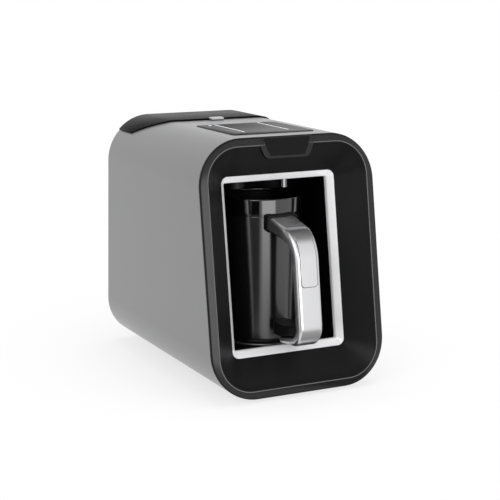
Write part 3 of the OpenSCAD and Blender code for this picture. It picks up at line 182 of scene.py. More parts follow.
class Finish(Maker):
    """A material under construction, with its Principled shader and Object coordinates."""

    MIX_LOW, MIX_HIGH, MIX_RESULT = 6, 7, 2

    def __init__(self, name, **sockets):
        self.material = bpy.data.materials.new(name)
        self.material.use_nodes = True
        super().__init__(self.material.node_tree)
        self.shader = self.tree.nodes["Principled BSDF"]
        self.place = self.node("ShaderNodeTexCoord")["Object"]
        self.set(**sockets)

    def set(self, **sockets):
        for key, value in sockets.items():
            self.feed(self.shader.inputs[key.replace("_", " ")], value)

    def noise(self, scale, detail=2.0, roughness=0.5, stretch=None):
        """Fractal noise from 0 to 1; it draws out along the axis with the smallest stretch."""
        place = self.place
        if stretch:
            place = self.node("ShaderNodeMapping", None, place, Scale=stretch)
        wires = {"Vector": place, "Scale": scale, "Detail": detail, "Roughness": roughness}
        return self.node("ShaderNodeTexNoise", None, **wires)

    def tint(self, low, high, amount):
        """A colour between two others, by a wire from 0 to 1."""
        made = self.node("ShaderNodeMix", {"data_type": "RGBA"}, Factor=amount)
        self.feed(made.node.inputs[self.MIX_LOW], (*low, 1.0))
        self.feed(made.node.inputs[self.MIX_HIGH], (*high, 1.0))
        return Wire(self, made.node, made.node.outputs[self.MIX_RESULT])

    def surface(self, colours, amount, roughness, relief, strength, depth):
        """Sets a colour between two, the roughness and a fine relief, and gives the material."""
        low, high = colours
        bump = self.node("ShaderNodeBump", None, Height=relief, Strength=strength, Distance=depth)
        self.set(Base_Color=self.tint(low, high, amount), Roughness=roughness, Normal=bump)
        return self.material


class Rule(Maker):
    """A Geometry Nodes tree with named inputs that grows one piece from a few seed points."""

    def __init__(self, name, **inputs):
        super().__init__(bpy.data.node_groups.new(name, "GeometryNodeTree"))
        self.values = {key.replace("_", " "): value for key, value in inputs.items()}
        sockets = self.tree.interface
        sockets.new_socket("Geometry", in_out="INPUT", socket_type="NodeSocketGeometry")
        sockets.new_socket("Geometry", in_out="OUTPUT", socket_type="NodeSocketGeometry")
        for key, value in self.values.items():
            kind = "NodeSocketInt" if isinstance(value, int) else "NodeSocketFloat"
            sockets.new_socket(key, in_out="INPUT", socket_type=kind)
        self.given = self.node("NodeGroupInput")

    def joined(self, *parts):
        made = self.node("GeometryNodeJoinGeometry")
        for part in parts:
            self.feed(made.node.inputs[0], part)
        return made

    def grow(self, name, points, edges, result, material):
        """Runs the tree on seed points and gives the object that it makes."""
        real = self.node("GeometryNodeRealizeInstances", None, result)
        covered = self.node("GeometryNodeSetMaterial", None, real, Material=material)
        self.node("NodeGroupOutput", None, covered)
        made = placed(name, mesh_from(name, points, [], edges))
        rule = made.modifiers.new(name, "NODES")
        rule.node_group = self.tree
        for item in self.tree.interface.items_tree:
            if item.in_out == "INPUT" and item.name in self.values:
                rule[item.identifier] = self.values[item.name]
        settle(made)
        outward(made.data)
        return made


# ------------------------------------------------------------------ finishes


def grey(level, blue=0.0):
    return (level, level, level + blue)


def around(colour, less, more=None):
    """Two colours that a share darker and a share lighter than another bound."""
    more = less if more is None else more
    return [tuple(c * factor for c in colour) for factor in (1 - less, 1 + more)]


def moulded(name, colour, rough, depth=20 * UM, **sockets):
    """Moulded plastic: a fine spark-eroded grain with slow changes of gloss."""
    made = Finish(name, **sockets)
    grain = made.noise(scale=1800.0, detail=3.0, roughness=0.6)
    slow = made.noise(scale=28.0)
    return made.surface(
        colours=around(colour, 0.12),
        amount=slow * 0.7 + grain * 0.3,
        roughness=slow * 0.1 + grain * 0.08 + (rough - 0.09),
        relief=grain,
        strength=0.35,
        depth=depth,
    )


def painted_sleeve():
    """Satin metallic paint on sheet steel, with fine flake and a slight orange peel."""
    made = Finish("sleeve_paint", Metallic=0.35, Coat_Weight=0.8, Coat_Roughness=0.3)
    flake = made.noise(scale=5200.0, roughness=0.7)
    peel = made.noise(scale=420.0)
    slow = made.noise(scale=9.0, detail=3.0)
    return made.surface(
        colours=around(grey(0.163, 0.005), 0.2),
        amount=flake * 0.75 + slow * 0.25,
        roughness=flake * 0.12 + slow * 0.06 + 0.36,
        relief=peel * 0.5 + flake * 0.5,
        strength=0.22,
        depth=40 * UM,
    )


def bright_metal(name, colour, rough, streak=(1.0, 1.0, 1.0)):
    """Bright metal with streaks along the axis that has the smallest factor."""
    made = Finish(name, Metallic=1.0)
    line = made.noise(scale=900.0, detail=4.0, roughness=0.65, stretch=streak)
    slow = made.noise(scale=35.0)
    return made.surface(
        colours=around(colour, 0.12, 0.0),
        amount=line * 0.6 + slow * 0.4,
        roughness=line * 0.1 + slow * 0.05 + (rough - 0.07),
        relief=line,
        strength=0.25,
        depth=6 * UM,
    )


def satin_chrome():
    """Satin chrome plate over plastic: pale, with a broad soft sheen."""
    made = Finish("satin_chrome", Metallic=0.2, Coat_Weight=0.4, Coat_Roughness=0.12)
    slow = made.noise(scale=60.0)
    fine = made.noise(scale=2400.0)
    return made.surface(
        colours=around(grey(0.95, 0.01), 0.04, 0.0),
        amount=slow,
        roughness=fine * 0.06 + slow * 0.05 + 0.26,
        relief=fine,
        strength=0.1,
        depth=4 * UM,
    )


def turned_steel():
    """The hot plate's turned face: rings about the pot's axis."""
    made = Finish("turned_steel", Metallic=1.0)
    turns_per_metre = 9000.0
    x, y, _ = made.axes(made.place)
    away = y - POT_Y
    rings = ((x * x + away * away).root() * turns_per_metre).sine() * 0.5 + 0.5
    slow = made.noise(scale=60.0)
    return made.surface(
        colours=(grey(0.3), grey(0.42)),
        amount=slow,
        roughness=rings * 0.08 + slow * 0.1 + 0.26,
        relief=rings,
        strength=0.3,
        depth=10 * UM,
    )


def pot_enamel():
    """The pot's satin black coat, with the faint turning lines of the metal below."""
    made = Finish("pot_satin", Specular_IOR_Level=1.0, Anisotropic=0.8, Anisotropic_Rotation=0.25)
    fine = made.noise(scale=2600.0, roughness=0.6)
    lines = made.noise(scale=700.0, detail=3.0, roughness=0.6, stretch=(0.02, 0.02, 1.0))
    return made.surface(
        colours=(grey(0.0035), grey(0.006)),
        amount=made.noise(scale=40.0),
        roughness=fine * 0.05 + lines * 0.06 + 0.17,
        relief=fine * 0.5 + lines * 0.5,
        strength=0.2,
        depth=10 * UM,
    )


def handle_paint():
    """Satin silver paint with fine flake."""
    made = Finish("handle_satin", Metallic=0.97)
    flake = made.noise(scale=6000.0, roughness=0.7)
    slow = made.noise(scale=45.0)
    return made.surface(
        colours=around(grey(0.66, 0.01), 0.06, 0.03),
        amount=flake * 0.7 + slow * 0.3,
        roughness=flake * 0.06 + slow * 0.04 + 0.24,
        relief=flake,
        strength=0.1,
        depth=5 * UM,
    )


def smoky_plastic():
    """The tank's clear smoke-grey plastic."""
    made = Finish("smoky_plastic", Transmission_Weight=0.85, IOR=1.45)
    slow = made.noise(scale=30.0)
    return made.surface(
        colours=((0.42, 0.45, 0.47), (0.5, 0.53, 0.55)),
        amount=slow,
        roughness=slow * 0.05 + 0.04,
        relief=slow,
        strength=0.05,
        depth=200 * UM,
    )


def rubber(name, colour, rough=0.7):
    made = Finish(name, Specular_IOR_Level=0.3)
    fine = made.noise(scale=1500.0, detail=4.0, roughness=0.7)
    return made.surface(
        colours=around(colour, 0.2),
        amount=made.noise(scale=50.0),
        roughness=fine * 0.1 + rough,
        relief=fine,
        strength=0.4,
        depth=30 * UM,
    )


def circuit_board():
    """Green solder mask over copper tracks."""
    made = Finish("circuit_board", Coat_Weight=0.4)
    edges = {"feature": "DISTANCE_TO_EDGE"}
    cells = made.node("ShaderNodeTexVoronoi", edges, Vector=made.place, Scale=140.0)
    mask = cells.smooth(0.02, 0.08)
    return made.surface(
        colours=((0.05, 0.22, 0.1), (0.015, 0.1, 0.04)),
        amount=mask,
        roughness=mask * 0.1 + 0.3,
        relief=1 - mask,
        strength=0.4,
        depth=40 * UM,
    )


def lit_strip():
    """A pale light guide with a faint glow."""
    made = Finish("lit_strip", Emission_Strength=0.25)
    soft = made.noise(scale=60.0, detail=1.0)
    made.set(
        Base_Color=made.tint((0.75, 0.76, 0.78), (0.85, 0.86, 0.88), soft),
        Emission_Color=made.tint((0.8, 0.82, 0.85), (0.9, 0.92, 0.95), soft),
        Roughness=soft * 0.05 + 0.25,
    )
    return made.material


FINISHES = {
    "sleeve_grey": painted_sleeve(),
    "front_black": moulded("front_plastic", grey(0.0045, 0.0003), 0.4, Specular_IOR_Level=0.16),
    "bare_plate": moulded(
        "bare_plate", grey(0.004, 0.0005), 0.16, 4 * UM, Specular_IOR_Level=0.14
    ),
    "trim_chrome": satin_chrome(),
    "cavity_black": moulded("cavity_plastic", grey(0.002), 0.45, Specular_IOR_Level=0.1),
    "panel_dark": moulded(
        "panel_glass", grey(0.01, 0.001), 0.25, 3 * UM, Specular_IOR_Level=0.018
    ),
    "lid_dark": moulded("lid_plastic", grey(0.006, 0.0005), 0.3, Specular_IOR_Level=0.015),
    "smoke_tank": smoky_plastic(),
    "valve_white": moulded("valve_white", (0.72, 0.72, 0.7), 0.4),
    "valve_orange": moulded("valve_orange", (0.7, 0.24, 0.03), 0.4),
    "screw_steel": bright_metal("screw_steel", grey(0.55, 0.01), 0.28, (1.0, 1.0, 0.2)),
    "bracket_steel": bright_metal("bracket_steel", (0.5, 0.51, 0.52), 0.35, (0.1, 1.0, 1.0)),
    "plate_steel": turned_steel(),
    "element_steel": bright_metal("element_steel", (0.3, 0.27, 0.25), 0.4),
    "seal_rubber": rubber("seal_rubber", grey(0.012)),
    "seal_red": rubber("seal_red", (0.3, 0.03, 0.02), 0.5),
    "foot_rubber": rubber("foot_rubber", grey(0.015)),
    "hose_silicone": rubber("hose_silicone", (0.6, 0.6, 0.57), 0.4),
    "pump_plastic": moulded("pump_plastic", grey(0.55), 0.4),
    "board_green": circuit_board(),
    "winding_copper": bright_metal("winding_copper", (0.6, 0.3, 0.12), 0.35, (1.0, 0.05, 1.0)),
    "relay_blue": moulded("relay_blue", (0.02, 0.07, 0.3), 0.35),
    "chassis_grey": moulded("chassis_plastic", grey(0.04, 0.002), 0.5),
    "cover_black": moulded("cover_plastic", grey(0.018, 0.001), 0.48),
    "strip_white": lit_strip(),
    "tab_grey": moulded("tab_plastic", grey(0.5, 0.01), 0.35),
    "lens_grey": moulded("lens_plastic", grey(0.08, 0.01), 0.12, 2 * UM),
    "pot_black": pot_enamel(),
    "collar_black": moulded("collar_gloss", grey(0.002), 0.1, 2 * UM, Specular_IOR_Level=1.0),
    "pot_steel": bright_metal("pot_steel", grey(0.5, 0.01), 0.3, (1.0, 1.0, 0.1)),
    "handle_silver": handle_paint(),
    "handle_black": moulded("handle_core_plastic", grey(0.005), 0.42, Specular_IOR_Level=0.2),
}
RIM_FINISH = moulded("rim_band", grey(0.006, 0.0002), 0.22, 5 * UM, Specular_IOR_Level=0.36)
POT_LINING = moulded("pot_lining", grey(0.003), 0.45, Specular_IOR_Level=0.12)
# painted highlight: a lighter grey on the faces just inside the ridge's crest stands in for the
# light that catches it
RIDGE_PAINTED_HIGHLIGHT = moulded("ridge_line", grey(0.09, 0.002), 0.25, 5 * UM)
SPOUT_FINISH = bright_metal("spout_chrome", grey(0.2, 0.01), 0.14)

for node, slot in SLOT_OF.items():
    for held in NODES[node].material_slots:
        held.material = FINISHES[slot]
NODES["water_spout"].material_slots[0].material = SPOUT_FINISH

# ------------------------------------------------------------------ meshes

MADE_WELD = 1 * UM
CAD_WELD = 2 * UM
CORNER_STEPS = 16


def mesh_from(name, verts, faces, edges=()):
    mesh = bpy.data.meshes.new(name)
    mesh.from_pydata([tuple(v) for v in verts], list(edges), faces)
    return mesh


def placed(name, data):
    """A new object of the scene that holds a mesh, a lamp or a lens."""
    made = bpy.data.objects.new(name, data)
    bpy.context.scene.collection.objects.link(made)
    return made


def settle(made):
    """Makes what a piece's modifiers give its own plain mesh."""
    graph = bpy.context.evaluated_depsgraph_get()
    made.data = bpy.data.meshes.new_from_object(made.evaluated_get(graph))
    made.modifiers.clear()


def welded(mesh, reach):
    """A mesh opened for editing, with the corners that lie within reach joined."""
    work = bmesh.new()
    work.from_mesh(mesh)
    bmesh.ops.remove_doubles(work, verts=work.verts, dist=reach)
    return work


def outward(mesh):
    """Turns every face of a closed mesh outwards."""
    work = welded(mesh, MADE_WELD)
    bmesh.ops.recalc_face_normals(work, faces=work.faces)
    work.to_mesh(mesh)
    work.free()


def dress(made, nodes, slot=None, finish=None, sharp=35.0):
    """Gives a piece the finish of its slot, or one given, and its body, and hides the CAD nodes
    that it stands for.

    It is smooth but for edges sharper than an angle in degrees.
    """
    slot = slot or SLOT_OF[nodes[0]]
    made.data.materials.clear()
    made.data.materials.append(finish or FINISHES[slot])
    made.data.shade_smooth()
    made.data.set_sharp_from_angle(angle=math.radians(sharp))
    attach(made, BODY_OF[nodes[0]])
    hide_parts(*nodes)


def piece(name, verts, faces, nodes, **looks):
    """A new closed piece that stands for some CAD nodes."""
    mesh = mesh_from(name, verts, faces)
    mesh.validate()
    outward(mesh)
    made = placed(name, mesh)
    dress(made, nodes, **looks)
    return made


def ring_faces(rings, count, closed=True):
    """Quads between rings of count points, and from the last ring to the first if closed."""
    faces = []
    for i in range(rings if closed else rings - 1):
        low, high = i * count, (i + 1) % rings * count
        for j in range(count):
            k = (j + 1) % count
            faces.append((low + j, high + j, high + k, low + k))
    return faces


def capped(name, rings, nodes, **looks):
    """A piece through rings of as many points each, with both its ends closed."""
    count = len(rings[0])
    verts = [p for ring in rings for p in ring]
    ends = [tuple(range(count)), tuple(reversed(range(len(verts) - count, len(verts))))]
    faces = ring_faces(len(rings), count, closed=False) + ends
    return piece(name, verts, faces, nodes, **looks)


def arc(cx, cy, r, start, end, steps=6):
    """Points on an arc between two headings in degrees."""
    turns = [math.radians(mix(start, end, i / steps)) for i in range(steps + 1)]
    return [(cx + r * math.cos(a), cy + r * math.sin(a)) for a in turns]


def rounded_loop(half, low, high, radius, stretch=1.0):
    """Points (across, up) of a rounded rectangle, anticlockwise from its lower right corner."""
    x, bottom, top = half - radius, low + radius * stretch, high - radius * stretch
    points = []
    for cx, cy, start in ((x, bottom, -90), (x, top, 0), (-x, top, 90), (-x, bottom, 180)):
        for i in range(CORNER_STEPS + 1):
            a = math.radians(start + 90 * i / CORNER_STEPS)
            points.append((cx + radius * math.cos(a), cy + stretch * radius * math.sin(a)))
    return points


def mirrored(right):
    """The left half of an outline: the points of its right half mirrored, the last first."""
    return [(-x, y) for x, y in reversed(right)]


def blend(outer, inner, k):
    """The loop that lies a share k of the way from one loop to another."""
    return [(mix(a[0], b[0], k), mix(a[1], b[1], k)) for a, b in zip(outer, inner)]


def front_ring(loop, depth):
    return [on_front(across, up, depth) for across, up in loop]


def front_loft(name, stations, node, sharp):
    """A closed ring of material on the leaning front, through stations of (loop, depth)."""
    count = len(stations[0][0])
    verts = [p for loop, depth in stations for p in front_ring(loop, depth)]
    return piece(name, verts, ring_faces(len(stations), count), [node], sharp=sharp)


# ------------------------------------------------------------------ front

FACE_H = BODY_H / math.cos(LEAN)
RIM = 6.4 * MM
RIDGE = 1.5 * MM
RIDGE_R = 29 * MM
FUNNEL = 17.9 * MM
FUNNEL_START = 1.4 * MM
FUNNEL_LAND = 0.2 * MM
MOUTH_HALF = 52.6 * MM
MOUTH_LOW = 32.1 * MM
MOUTH_DROP = 23.8 * MM
MOUTH_HIGH = FACE_H - RIM - MOUTH_DROP
MOUTH_R = 6 * MM
LINER_DEPTH = 24 * MM
TAB_HALF = 25 * MM
TAB_H = 11.5 * MM
TAB_R = 6 * MM
TAB_TAPER = 5 * MM
TAB_T = 3.6 * MM
BLANK_HALF = 21.8 * MM
BLANK_FOOT = 15.5 * MM
BLANK_RISE = 5 * MM
BLANK_DROP = 9 * MM
BLANK_T = 0.6 * MM
BLANK_STEPS = 8


def body_loop(inset, depth):
    """The body's outline on the leaning front at a depth, inset from the sleeve's outside."""
    back = depth * math.sin(LEAN)
    low, high = ((z + back) / math.cos(LEAN) for z in (inset, BODY_H - inset))
    return rounded_loop(BODY_W / 2 - inset, low, high, CORNER_R - inset, 1 / math.cos(LEAN))


def ridge_loop(inset):
    """The ridge's line, inset from its crest."""
    low = RIM + inset
    return rounded_loop(BODY_W / 2 - low, low, FACE_H - low, RIDGE_R - inset)


def mouth_loop(grow):
    """The opening's outline, grown outwards."""
    low, high = MOUTH_LOW - grow, MOUTH_HIGH + grow
    return rounded_loop(MOUTH_HALF + grow, low, high, MOUTH_R + grow)


def funnel_loop(k):
    """A loop on the funnel, from the ridge at 0 to the mouth at 1."""
    return blend(ridge_loop(FUNNEL_START), mouth_loop(FUNNEL_LAND), k)


def front_frame():
    """The moulded front: edge, rim, ridge, funnel and the skirt that plugs into the sleeve."""
    edge, crest, foot = 0.5 * MM, 0.7 * MM, 1.1 * MM
    soft, edge_rise, near = edge * 0.3, edge * 0.24, 0.12
    crest_rise, inner_rise, foot_rise, funnel_rise = (RIDGE * k for k in (0.93, 0.96, 0.8, 0.56))
    support = blend(body_loop(edge, 0), ridge_loop(-crest), near)
    lip, wall = mouth_loop(FUNNEL_LAND), mouth_loop(2.4 * MM)
    skirt_out, skirt_in, skirt_end = 1.75 * MM, 3.7 * MM, 12 * MM
    stations = [
        (body_loop(0, FLANGE), FLANGE),
        (body_loop(0, edge), edge),
        (body_loop(soft, soft), soft),
        (body_loop(edge, 0), -edge_rise),
        (support, -mix(edge_rise, crest_rise, near)),
        (ridge_loop(-crest), -crest_rise),
        (ridge_loop(0), -RIDGE),
        (ridge_loop(crest), -inner_rise),
        (ridge_loop(foot), -foot_rise),
    ]
    for k in (0, 0.25, 0.5, 0.75, 0.97, 1):
        stations.append((funnel_loop(k), mix(-funnel_rise, FUNNEL, k)))
    stations += [
        (lip, LINER_DEPTH),
        (wall, LINER_DEPTH),
        (wall, FUNNEL + MM),
        (body_loop(skirt_in, FLANGE), FLANGE),
        (body_loop(skirt_in, skirt_end), skirt_end),
        (body_loop(skirt_out, skirt_end), skirt_end),
        (body_loop(skirt_out, FLANGE), FLANGE),
    ]
    made = front_loft("front_frame", stations, "front_bezel", sharp=32.0)
    count = len(stations[0][0])
    # The rim runs from the support to the ridge's crest; just inside the crest, a lighter grey
    # paints the ridge's highlight in as a bright line.
    for finish, first, last in ((RIM_FINISH, 4, 6), (RIDGE_PAINTED_HIGHLIGHT, 6, 7)):
        index = len(made.data.materials)
        made.data.materials.append(finish)
        for i in range(first * count, last * count):
            made.data.polygons[i].material_index = index


def plate_on_front(name, node, loop, back, front, edge, finish=None):
    """A plate on the leaning front with a rounded front edge; the loop is its outline."""
    middle = [sum(p[i] for p in loop) / len(loop) for i in (0, 1)]
    reach = [max(p[i] for p in loop) - middle[i] for i in (0, 1)]
    steps, support = 4, 0.25 * MM

    def inset(amount):
        return [[m + (v - m) * (1 - amount / r) for v, m, r in zip(p, middle, reach)] for p in loop]

    rings = [front_ring(loop, back)]
    for i in range(steps + 1):
        a = QUARTER * i / steps
        rings.append(front_ring(inset(edge * (1 - math.cos(a))), front + edge * (1 - math.sin(a))))
    rings.append(front_ring(inset(edge + support), front))
    capped(name, rings, [node], finish=finish)


def tab_loop():
    """The tab that hangs from the ridge over the opening and draws in towards its lower end."""
    side = math.atan2(TAB_TAPER, TAB_H)
    x = TAB_HALF - TAB_TAPER - TAB_R / math.cos(side) + TAB_R * math.tan(side)
    top = FACE_H - RIM
    corner = arc(x, top - TAB_H + TAB_R, TAB_R, -90, -math.degrees(side), steps=10)
    return corner + [(TAB_HALF, top), (-TAB_HALF, top)] + mirrored(corner)


def blank_loop(grow, soft):
    """The bare plate's outline, from the tab up over the rim, with its corners rounded."""
    side = math.atan2(BLANK_HALF - BLANK_FOOT, BLANK_RISE + BLANK_DROP)
    out, shift = grow / math.cos(side), grow * math.tan(side)
    low = (BLANK_FOOT + out - shift, FACE_H - RIM - BLANK_DROP - grow)
    high = (BLANK_HALF + out + shift, FACE_H - RIM + BLANK_RISE + grow)
    corners = [Vector(p) for p in (low, high, *mirrored([low, high]))]
    points = []
    for i, corner in enumerate(corners):
        before = (corners[i - 1] - corner).normalized()
        after = (corners[(i + 1) % 4] - corner).normalized()
        half = before.angle(after) / 2
        centre = corner + (before + after).normalized() * soft / math.sin(half)
        start = corner + before * soft / math.tan(half) - centre
        turn = (math.pi - 2 * half) / BLANK_STEPS
        for k in range(BLANK_STEPS + 1):
            points.append(tuple(centre + Matrix.Rotation(turn * k, 2) @ start))
    return points


def chrome_trim():
    """The chrome frame round the opening: a sloping face, a rolled inner edge and a return."""
    side, lower, upper, corner = 4.7 * MM, 6.1 * MM, 5.3 * MM, 1.5 * MM
    fall, lip, back, wall = 5.9 * MM, 0.4 * MM, 9.1 * MM, 1.2 * MM
    outer_edge, face_start, face_top = 0.5 * MM, 0.1 * MM, 0.55 * MM

    def inner(grow):
        low, high = MOUTH_LOW + lower - grow, MOUTH_HIGH - upper + grow
        return rounded_loop(MOUTH_HALF - side + grow, low, high, corner + grow)

    stations = [(mouth_loop(0), outer_edge)]
    face = ((0.03, face_start), (0.1, face_top), (0.9, fall * 0.88), (0.97, fall * 0.97))
    stations += [(blend(mouth_loop(0), inner(0), k), depth) for k, depth in face]
    stations += [(inner(0), fall + lip), (inner(0), back), (inner(wall), back)]
    stations += [(inner(wall), LINER_DEPTH - FUNNEL), (mouth_loop(0), LINER_DEPTH - FUNNEL)]
    stations = [(loop, FUNNEL + depth) for loop, depth in stations]
    front_loft("chrome_trim", stations, "cavity_trim", sharp=40.0)


front_frame()
plate_on_front(
    "tab_block", "front_bezel", tab_loop(),
    back=TAB_T - RIDGE, front=-RIDGE, edge=0.5 * MM, finish=RIM_FINISH,
)
plate_on_front(
    "tab_land", "front_bezel", blank_loop(grow=0.8 * MM, soft=1.6 * MM),
    back=0.5 * MM, front=-RIDGE, edge=0.3 * MM, finish=RIM_FINISH,
)
plate_on_front(
    "tab_blank", "name_plate", blank_loop(grow=0, soft=MM),
    back=-RIDGE, front=-RIDGE - BLANK_T, edge=0.25 * MM,
)
chrome_trim()

# ------------------------------------------------------------------ pot

COLLAR_LOW = 110.3 * MM
BODY_TOP = 108.6 * MM
NECK_R = POT_R - 0.9 * MM
BASE_R = 28.1 * MM
AXIS_R = 0.02 * MM


def turned(name, profile, node, places=((0.0, POT_Y, POT_Z),), steps=160):
    """A piece turned from a closed profile of (radius, height), once at each place."""
    ring = 1 * MM
    rule = Rule(name, Ring_radius=ring, Around=steps)
    given = rule.given
    sizes = {"Resolution": given["Around"], "Radius": given["Ring radius"]}
    circle = rule.node("GeometryNodeCurvePrimitiveCircle", None, **sizes)
    outline = rule.node("GeometryNodeMeshToCurve", None, given["Geometry"])
    wall = rule.node("GeometryNodeCurveToMesh", None, circle, outline)
    copies = [rule.node("GeometryNodeTransform", None, wall, Translation=p) for p in places]
    count = len(profile)
    points = [(r - ring, -z, 0) for r, z in profile]
    edges = [(i, (i + 1) % count) for i in range(count)]
    made = rule.grow(name, points, edges, rule.joined(*copies), FINISHES[SLOT_OF[node]])
    dress(made, [node])
    return made


def pot_shell():
    """The pot's wall, round at the foot and stepped in at the neck, with a lining inside."""
    wall, rim, floor, base = POT_R - 1.6 * MM, 120.2 * MM, 4 * MM, 2.45 * MM
    foot, inner_foot, soft, support = 4 * MM, 3 * MM, 0.4 * MM, 0.3 * MM
    profile = [(BASE_R, 0.0)] + arc(POT_R - foot, foot, foot, -90, 0)[1:]
    profile += [(POT_R, foot + 0.4 * MM), (POT_R, BODY_TOP - soft - support)]
    profile += arc(POT_R - soft, BODY_TOP - soft, soft, 0, 90, steps=3)
    profile += [(NECK_R, BODY_TOP), (NECK_R, rim), (wall, rim)]
    profile += arc(wall - inner_foot, floor + inner_foot, inner_foot, 0, -90)
    profile += [(AXIS_R, floor), (AXIS_R, base), (BASE_R, base)]
    made = turned("pot_shell", profile, "pot_body")
    made.data.materials.append(POT_LINING)
    for face in made.data.polygons:
        away = Vector((face.center.x, face.center.y - POT_Y)).length
        inside = away < wall + 0.1 * MM and face.center.z > POT_Z + (floor + base) / 2
        face.material_index = int(inside)


def pot_collar():
    """The gloss ring round the pot's neck, with a rolled rim."""
    out, inside, low, top = POT_R + 0.7 * MM, NECK_R + 0.05 * MM, COLLAR_LOW, 123.2 * MM
    soft, rim, seat, support = 0.5 * MM, MM, 120.3 * MM, 0.2 * MM
    lip = NECK_R + 0.2 * MM
    profile = [(inside, low)] + arc(out - soft, low + soft, soft, -90, 0, steps=4)
    profile += [(out, low + soft + support), (out, top - rim - support)]
    profile += arc(out - rim, top - rim, rim, 0, 90, steps=5)
    profile += arc(lip, top - rim, rim, 90, 180, steps=5)
    profile += [(lip - rim, seat), (inside, seat)]
    turned("collar_ring", profile, "pot_collar")


pot_shell()
pot_collar()

# ------------------------------------------------------------------ handle

HANDLE_TOP = 104.8 * MM
REACH = 43.2 * MM
SLOPE = 10.0
GRIP_LEAN = 7.5
SHOULDER_R = 24 * MM
HEEL_H = 13.8 * MM
HEEL_R = 13.6 * MM
TAIL_SLOPE = 9.5
TAIL_GAP = 19 * MM
ROOT = 1.2 * MM
ROOT_W = 25 * MM
GRIP_W = 21.5 * MM
ROOT_T, ARM_T, GRIP_T, HEEL_T, TIP_T = (t * MM for t in (10.4, 8.6, 7.7, 6.8, 3.2))
ARM_STEPS = 6
BEND_STEPS = 18


def heading(degrees):
    return Vector((math.cos(math.radians(degrees)), math.sin(math.radians(degrees))))


def fillet(corner, before, after, radius):
    """Points (reach, height, heading) of an arc that rounds a corner, turning clockwise."""
    turn = after - before
    start = corner - radius * tangent(-turn / 2) * heading(before)
    centre = start + radius * heading(before - 90)
    headings = [before + turn * i / BEND_STEPS for i in range(BEND_STEPS + 1)]
    return [(*(centre + radius * heading(at + 90)), at) for at in headings]


def arm_height(reach):
    """The height of the arm's middle line at a distance from the pot."""
    return HANDLE_TOP - reach * tangent(SLOPE)


def grip_reach(height):
    """The distance of the grip's middle line from the pot at a height."""
    return REACH + (arm_height(REACH) - height) * tangent(GRIP_LEAN)


def handle_stations():
    """Stations (reach, height, heading, half width, thickness) from the pot to the tail's tip."""
    down, tail = GRIP_LEAN - 90, TAIL_SLOPE - 180
    heel_corner = Vector((grip_reach(HEEL_H), HEEL_H))
    shoulder = fillet(Vector((REACH, arm_height(REACH))), -SLOPE, down, SHOULDER_R)
    heel = fillet(heel_corner, down, tail, HEEL_R)
    tip = Vector((TAIL_GAP, HEEL_H + (TAIL_GAP - heel_corner.x) * tangent(TAIL_SLOPE)))
    grip, heel_draw, tip_draw = GRIP_W / 2, 0.21 * MM, 1.0 * MM
    at_shoulder, over_shoulder = 0.304, 0.8

    def narrowing(k):
        return mix(ROOT_W, GRIP_W, ease(min(1, k))) / 2

    made = []
    for i in range(ARM_STEPS):
        k = i / ARM_STEPS
        reach, thick = mix(ROOT, shoulder[0][0], k), mix(ROOT_T, ARM_T, ease(k))
        made.append((reach, arm_height(reach), -SLOPE, narrowing(k / 3), thick))
    for i, point in enumerate(shoulder):
        k = i / BEND_STEPS
        half = narrowing(at_shoulder + over_shoulder * k)
        made.append((*point, half, mix(ARM_T, GRIP_T, ease(k))))
    for k in (0.25, 0.5, 0.75):
        height = mix(shoulder[-1][1], heel[0][1], k)
        made.append((grip_reach(height), height, down, grip, GRIP_T))
    for i, point in enumerate(heel):
        k = i / BEND_STEPS
        made.append((*point, grip - heel_draw * k, mix(GRIP_T, HEEL_T, ease(k))))
    for k in (0.25, 0.5, 0.75, 0.92, 1.0):
        point = Vector(heel[-1][:2]).lerp(tip, k)
        made.append((*point, tail, grip - mix(heel_draw, tip_draw, k), mix(HEEL_T, TIP_T, k)))
    return made


def on_handle(station, across, out):
    """A section point, out from the handle's middle line, in the part's frame."""
    reach, height, at = station[:3]
    way = heading(at + 90)
    return Vector((across, POT_Y - POT_R - reach - out * way.x, POT_Z + height + out * way.y))


def shell_section(half, thick):
    """Channel section of the silver shell, open towards the pot."""
    wall, lip, support, top = 2 * MM, 0.35 * MM, 0.3 * MM, thick / 2
    r = min(3.2 * MM, thick * 0.55)
    right = [(half - r - support, top)] + arc(half - r, top - r, r, 90, 0, steps=10)
    right += [(half, lip - top), (half - lip, -top)]
    inner = half - wall
    channel = [(inner, -top), (inner, top - wall), (-inner, top - wall), (-inner, -top)]
    return mirrored(right) + right + channel


def core_section(half, thick):
    """The black core: a web in the channel and a rounded back for the fingers."""
    play, shelf, proud = 2.1 * MM, -thick / 2 - 0.05 * MM, 1.6 * MM
    web, back, top = half - play, half - 0.8 * MM, thick / 2 - play
    r = proud * 0.75
    points = [(-web, top), (web, top), (web, shelf), (back, shelf)]
    points += arc(back - r, shelf - proud + r, r, 0, -90)
    points += arc(r - back, shelf - proud + r, r, -90, -180)
    return points + [(-back, shelf), (-web, shelf)]


def swept(name, stations, section, node, slot=None):
    """A piece that follows the handle's middle line through its stations."""
    rings = [[on_handle(at, across, out) for across, out in section(*at[3:])] for at in stations]
    capped(name, rings, [node], slot=slot, sharp=40.0)


INLAY_HALF = 7.25 * MM
INLAY_T = 0.5 * MM
INLAY_R = 3 * MM
INLAY_LOW = HANDLE_TOP - 46 * MM
SINK_STEPS = 7
END_STEPS = 8


def inlay_section(half, thick):
    """The raised panel in the grip's face, with a soft edge."""
    base, top, soft = thick / 2 - 0.1 * MM, thick / 2 + INLAY_T, 0.2 * MM
    right = [(half, base)] + arc(half - soft, top - soft, soft, 0, 90, steps=3)
    right.append((half - 2 * soft, top))
    return right + mirrored(right)


def seam_section(half, thick):
    """The dark line that shows round the panel."""
    base, top = thick / 2 - 0.3 * MM, thick / 2 + 0.13 * MM
    return [(half, base), (half, top), (-half, top), (-half, base)]


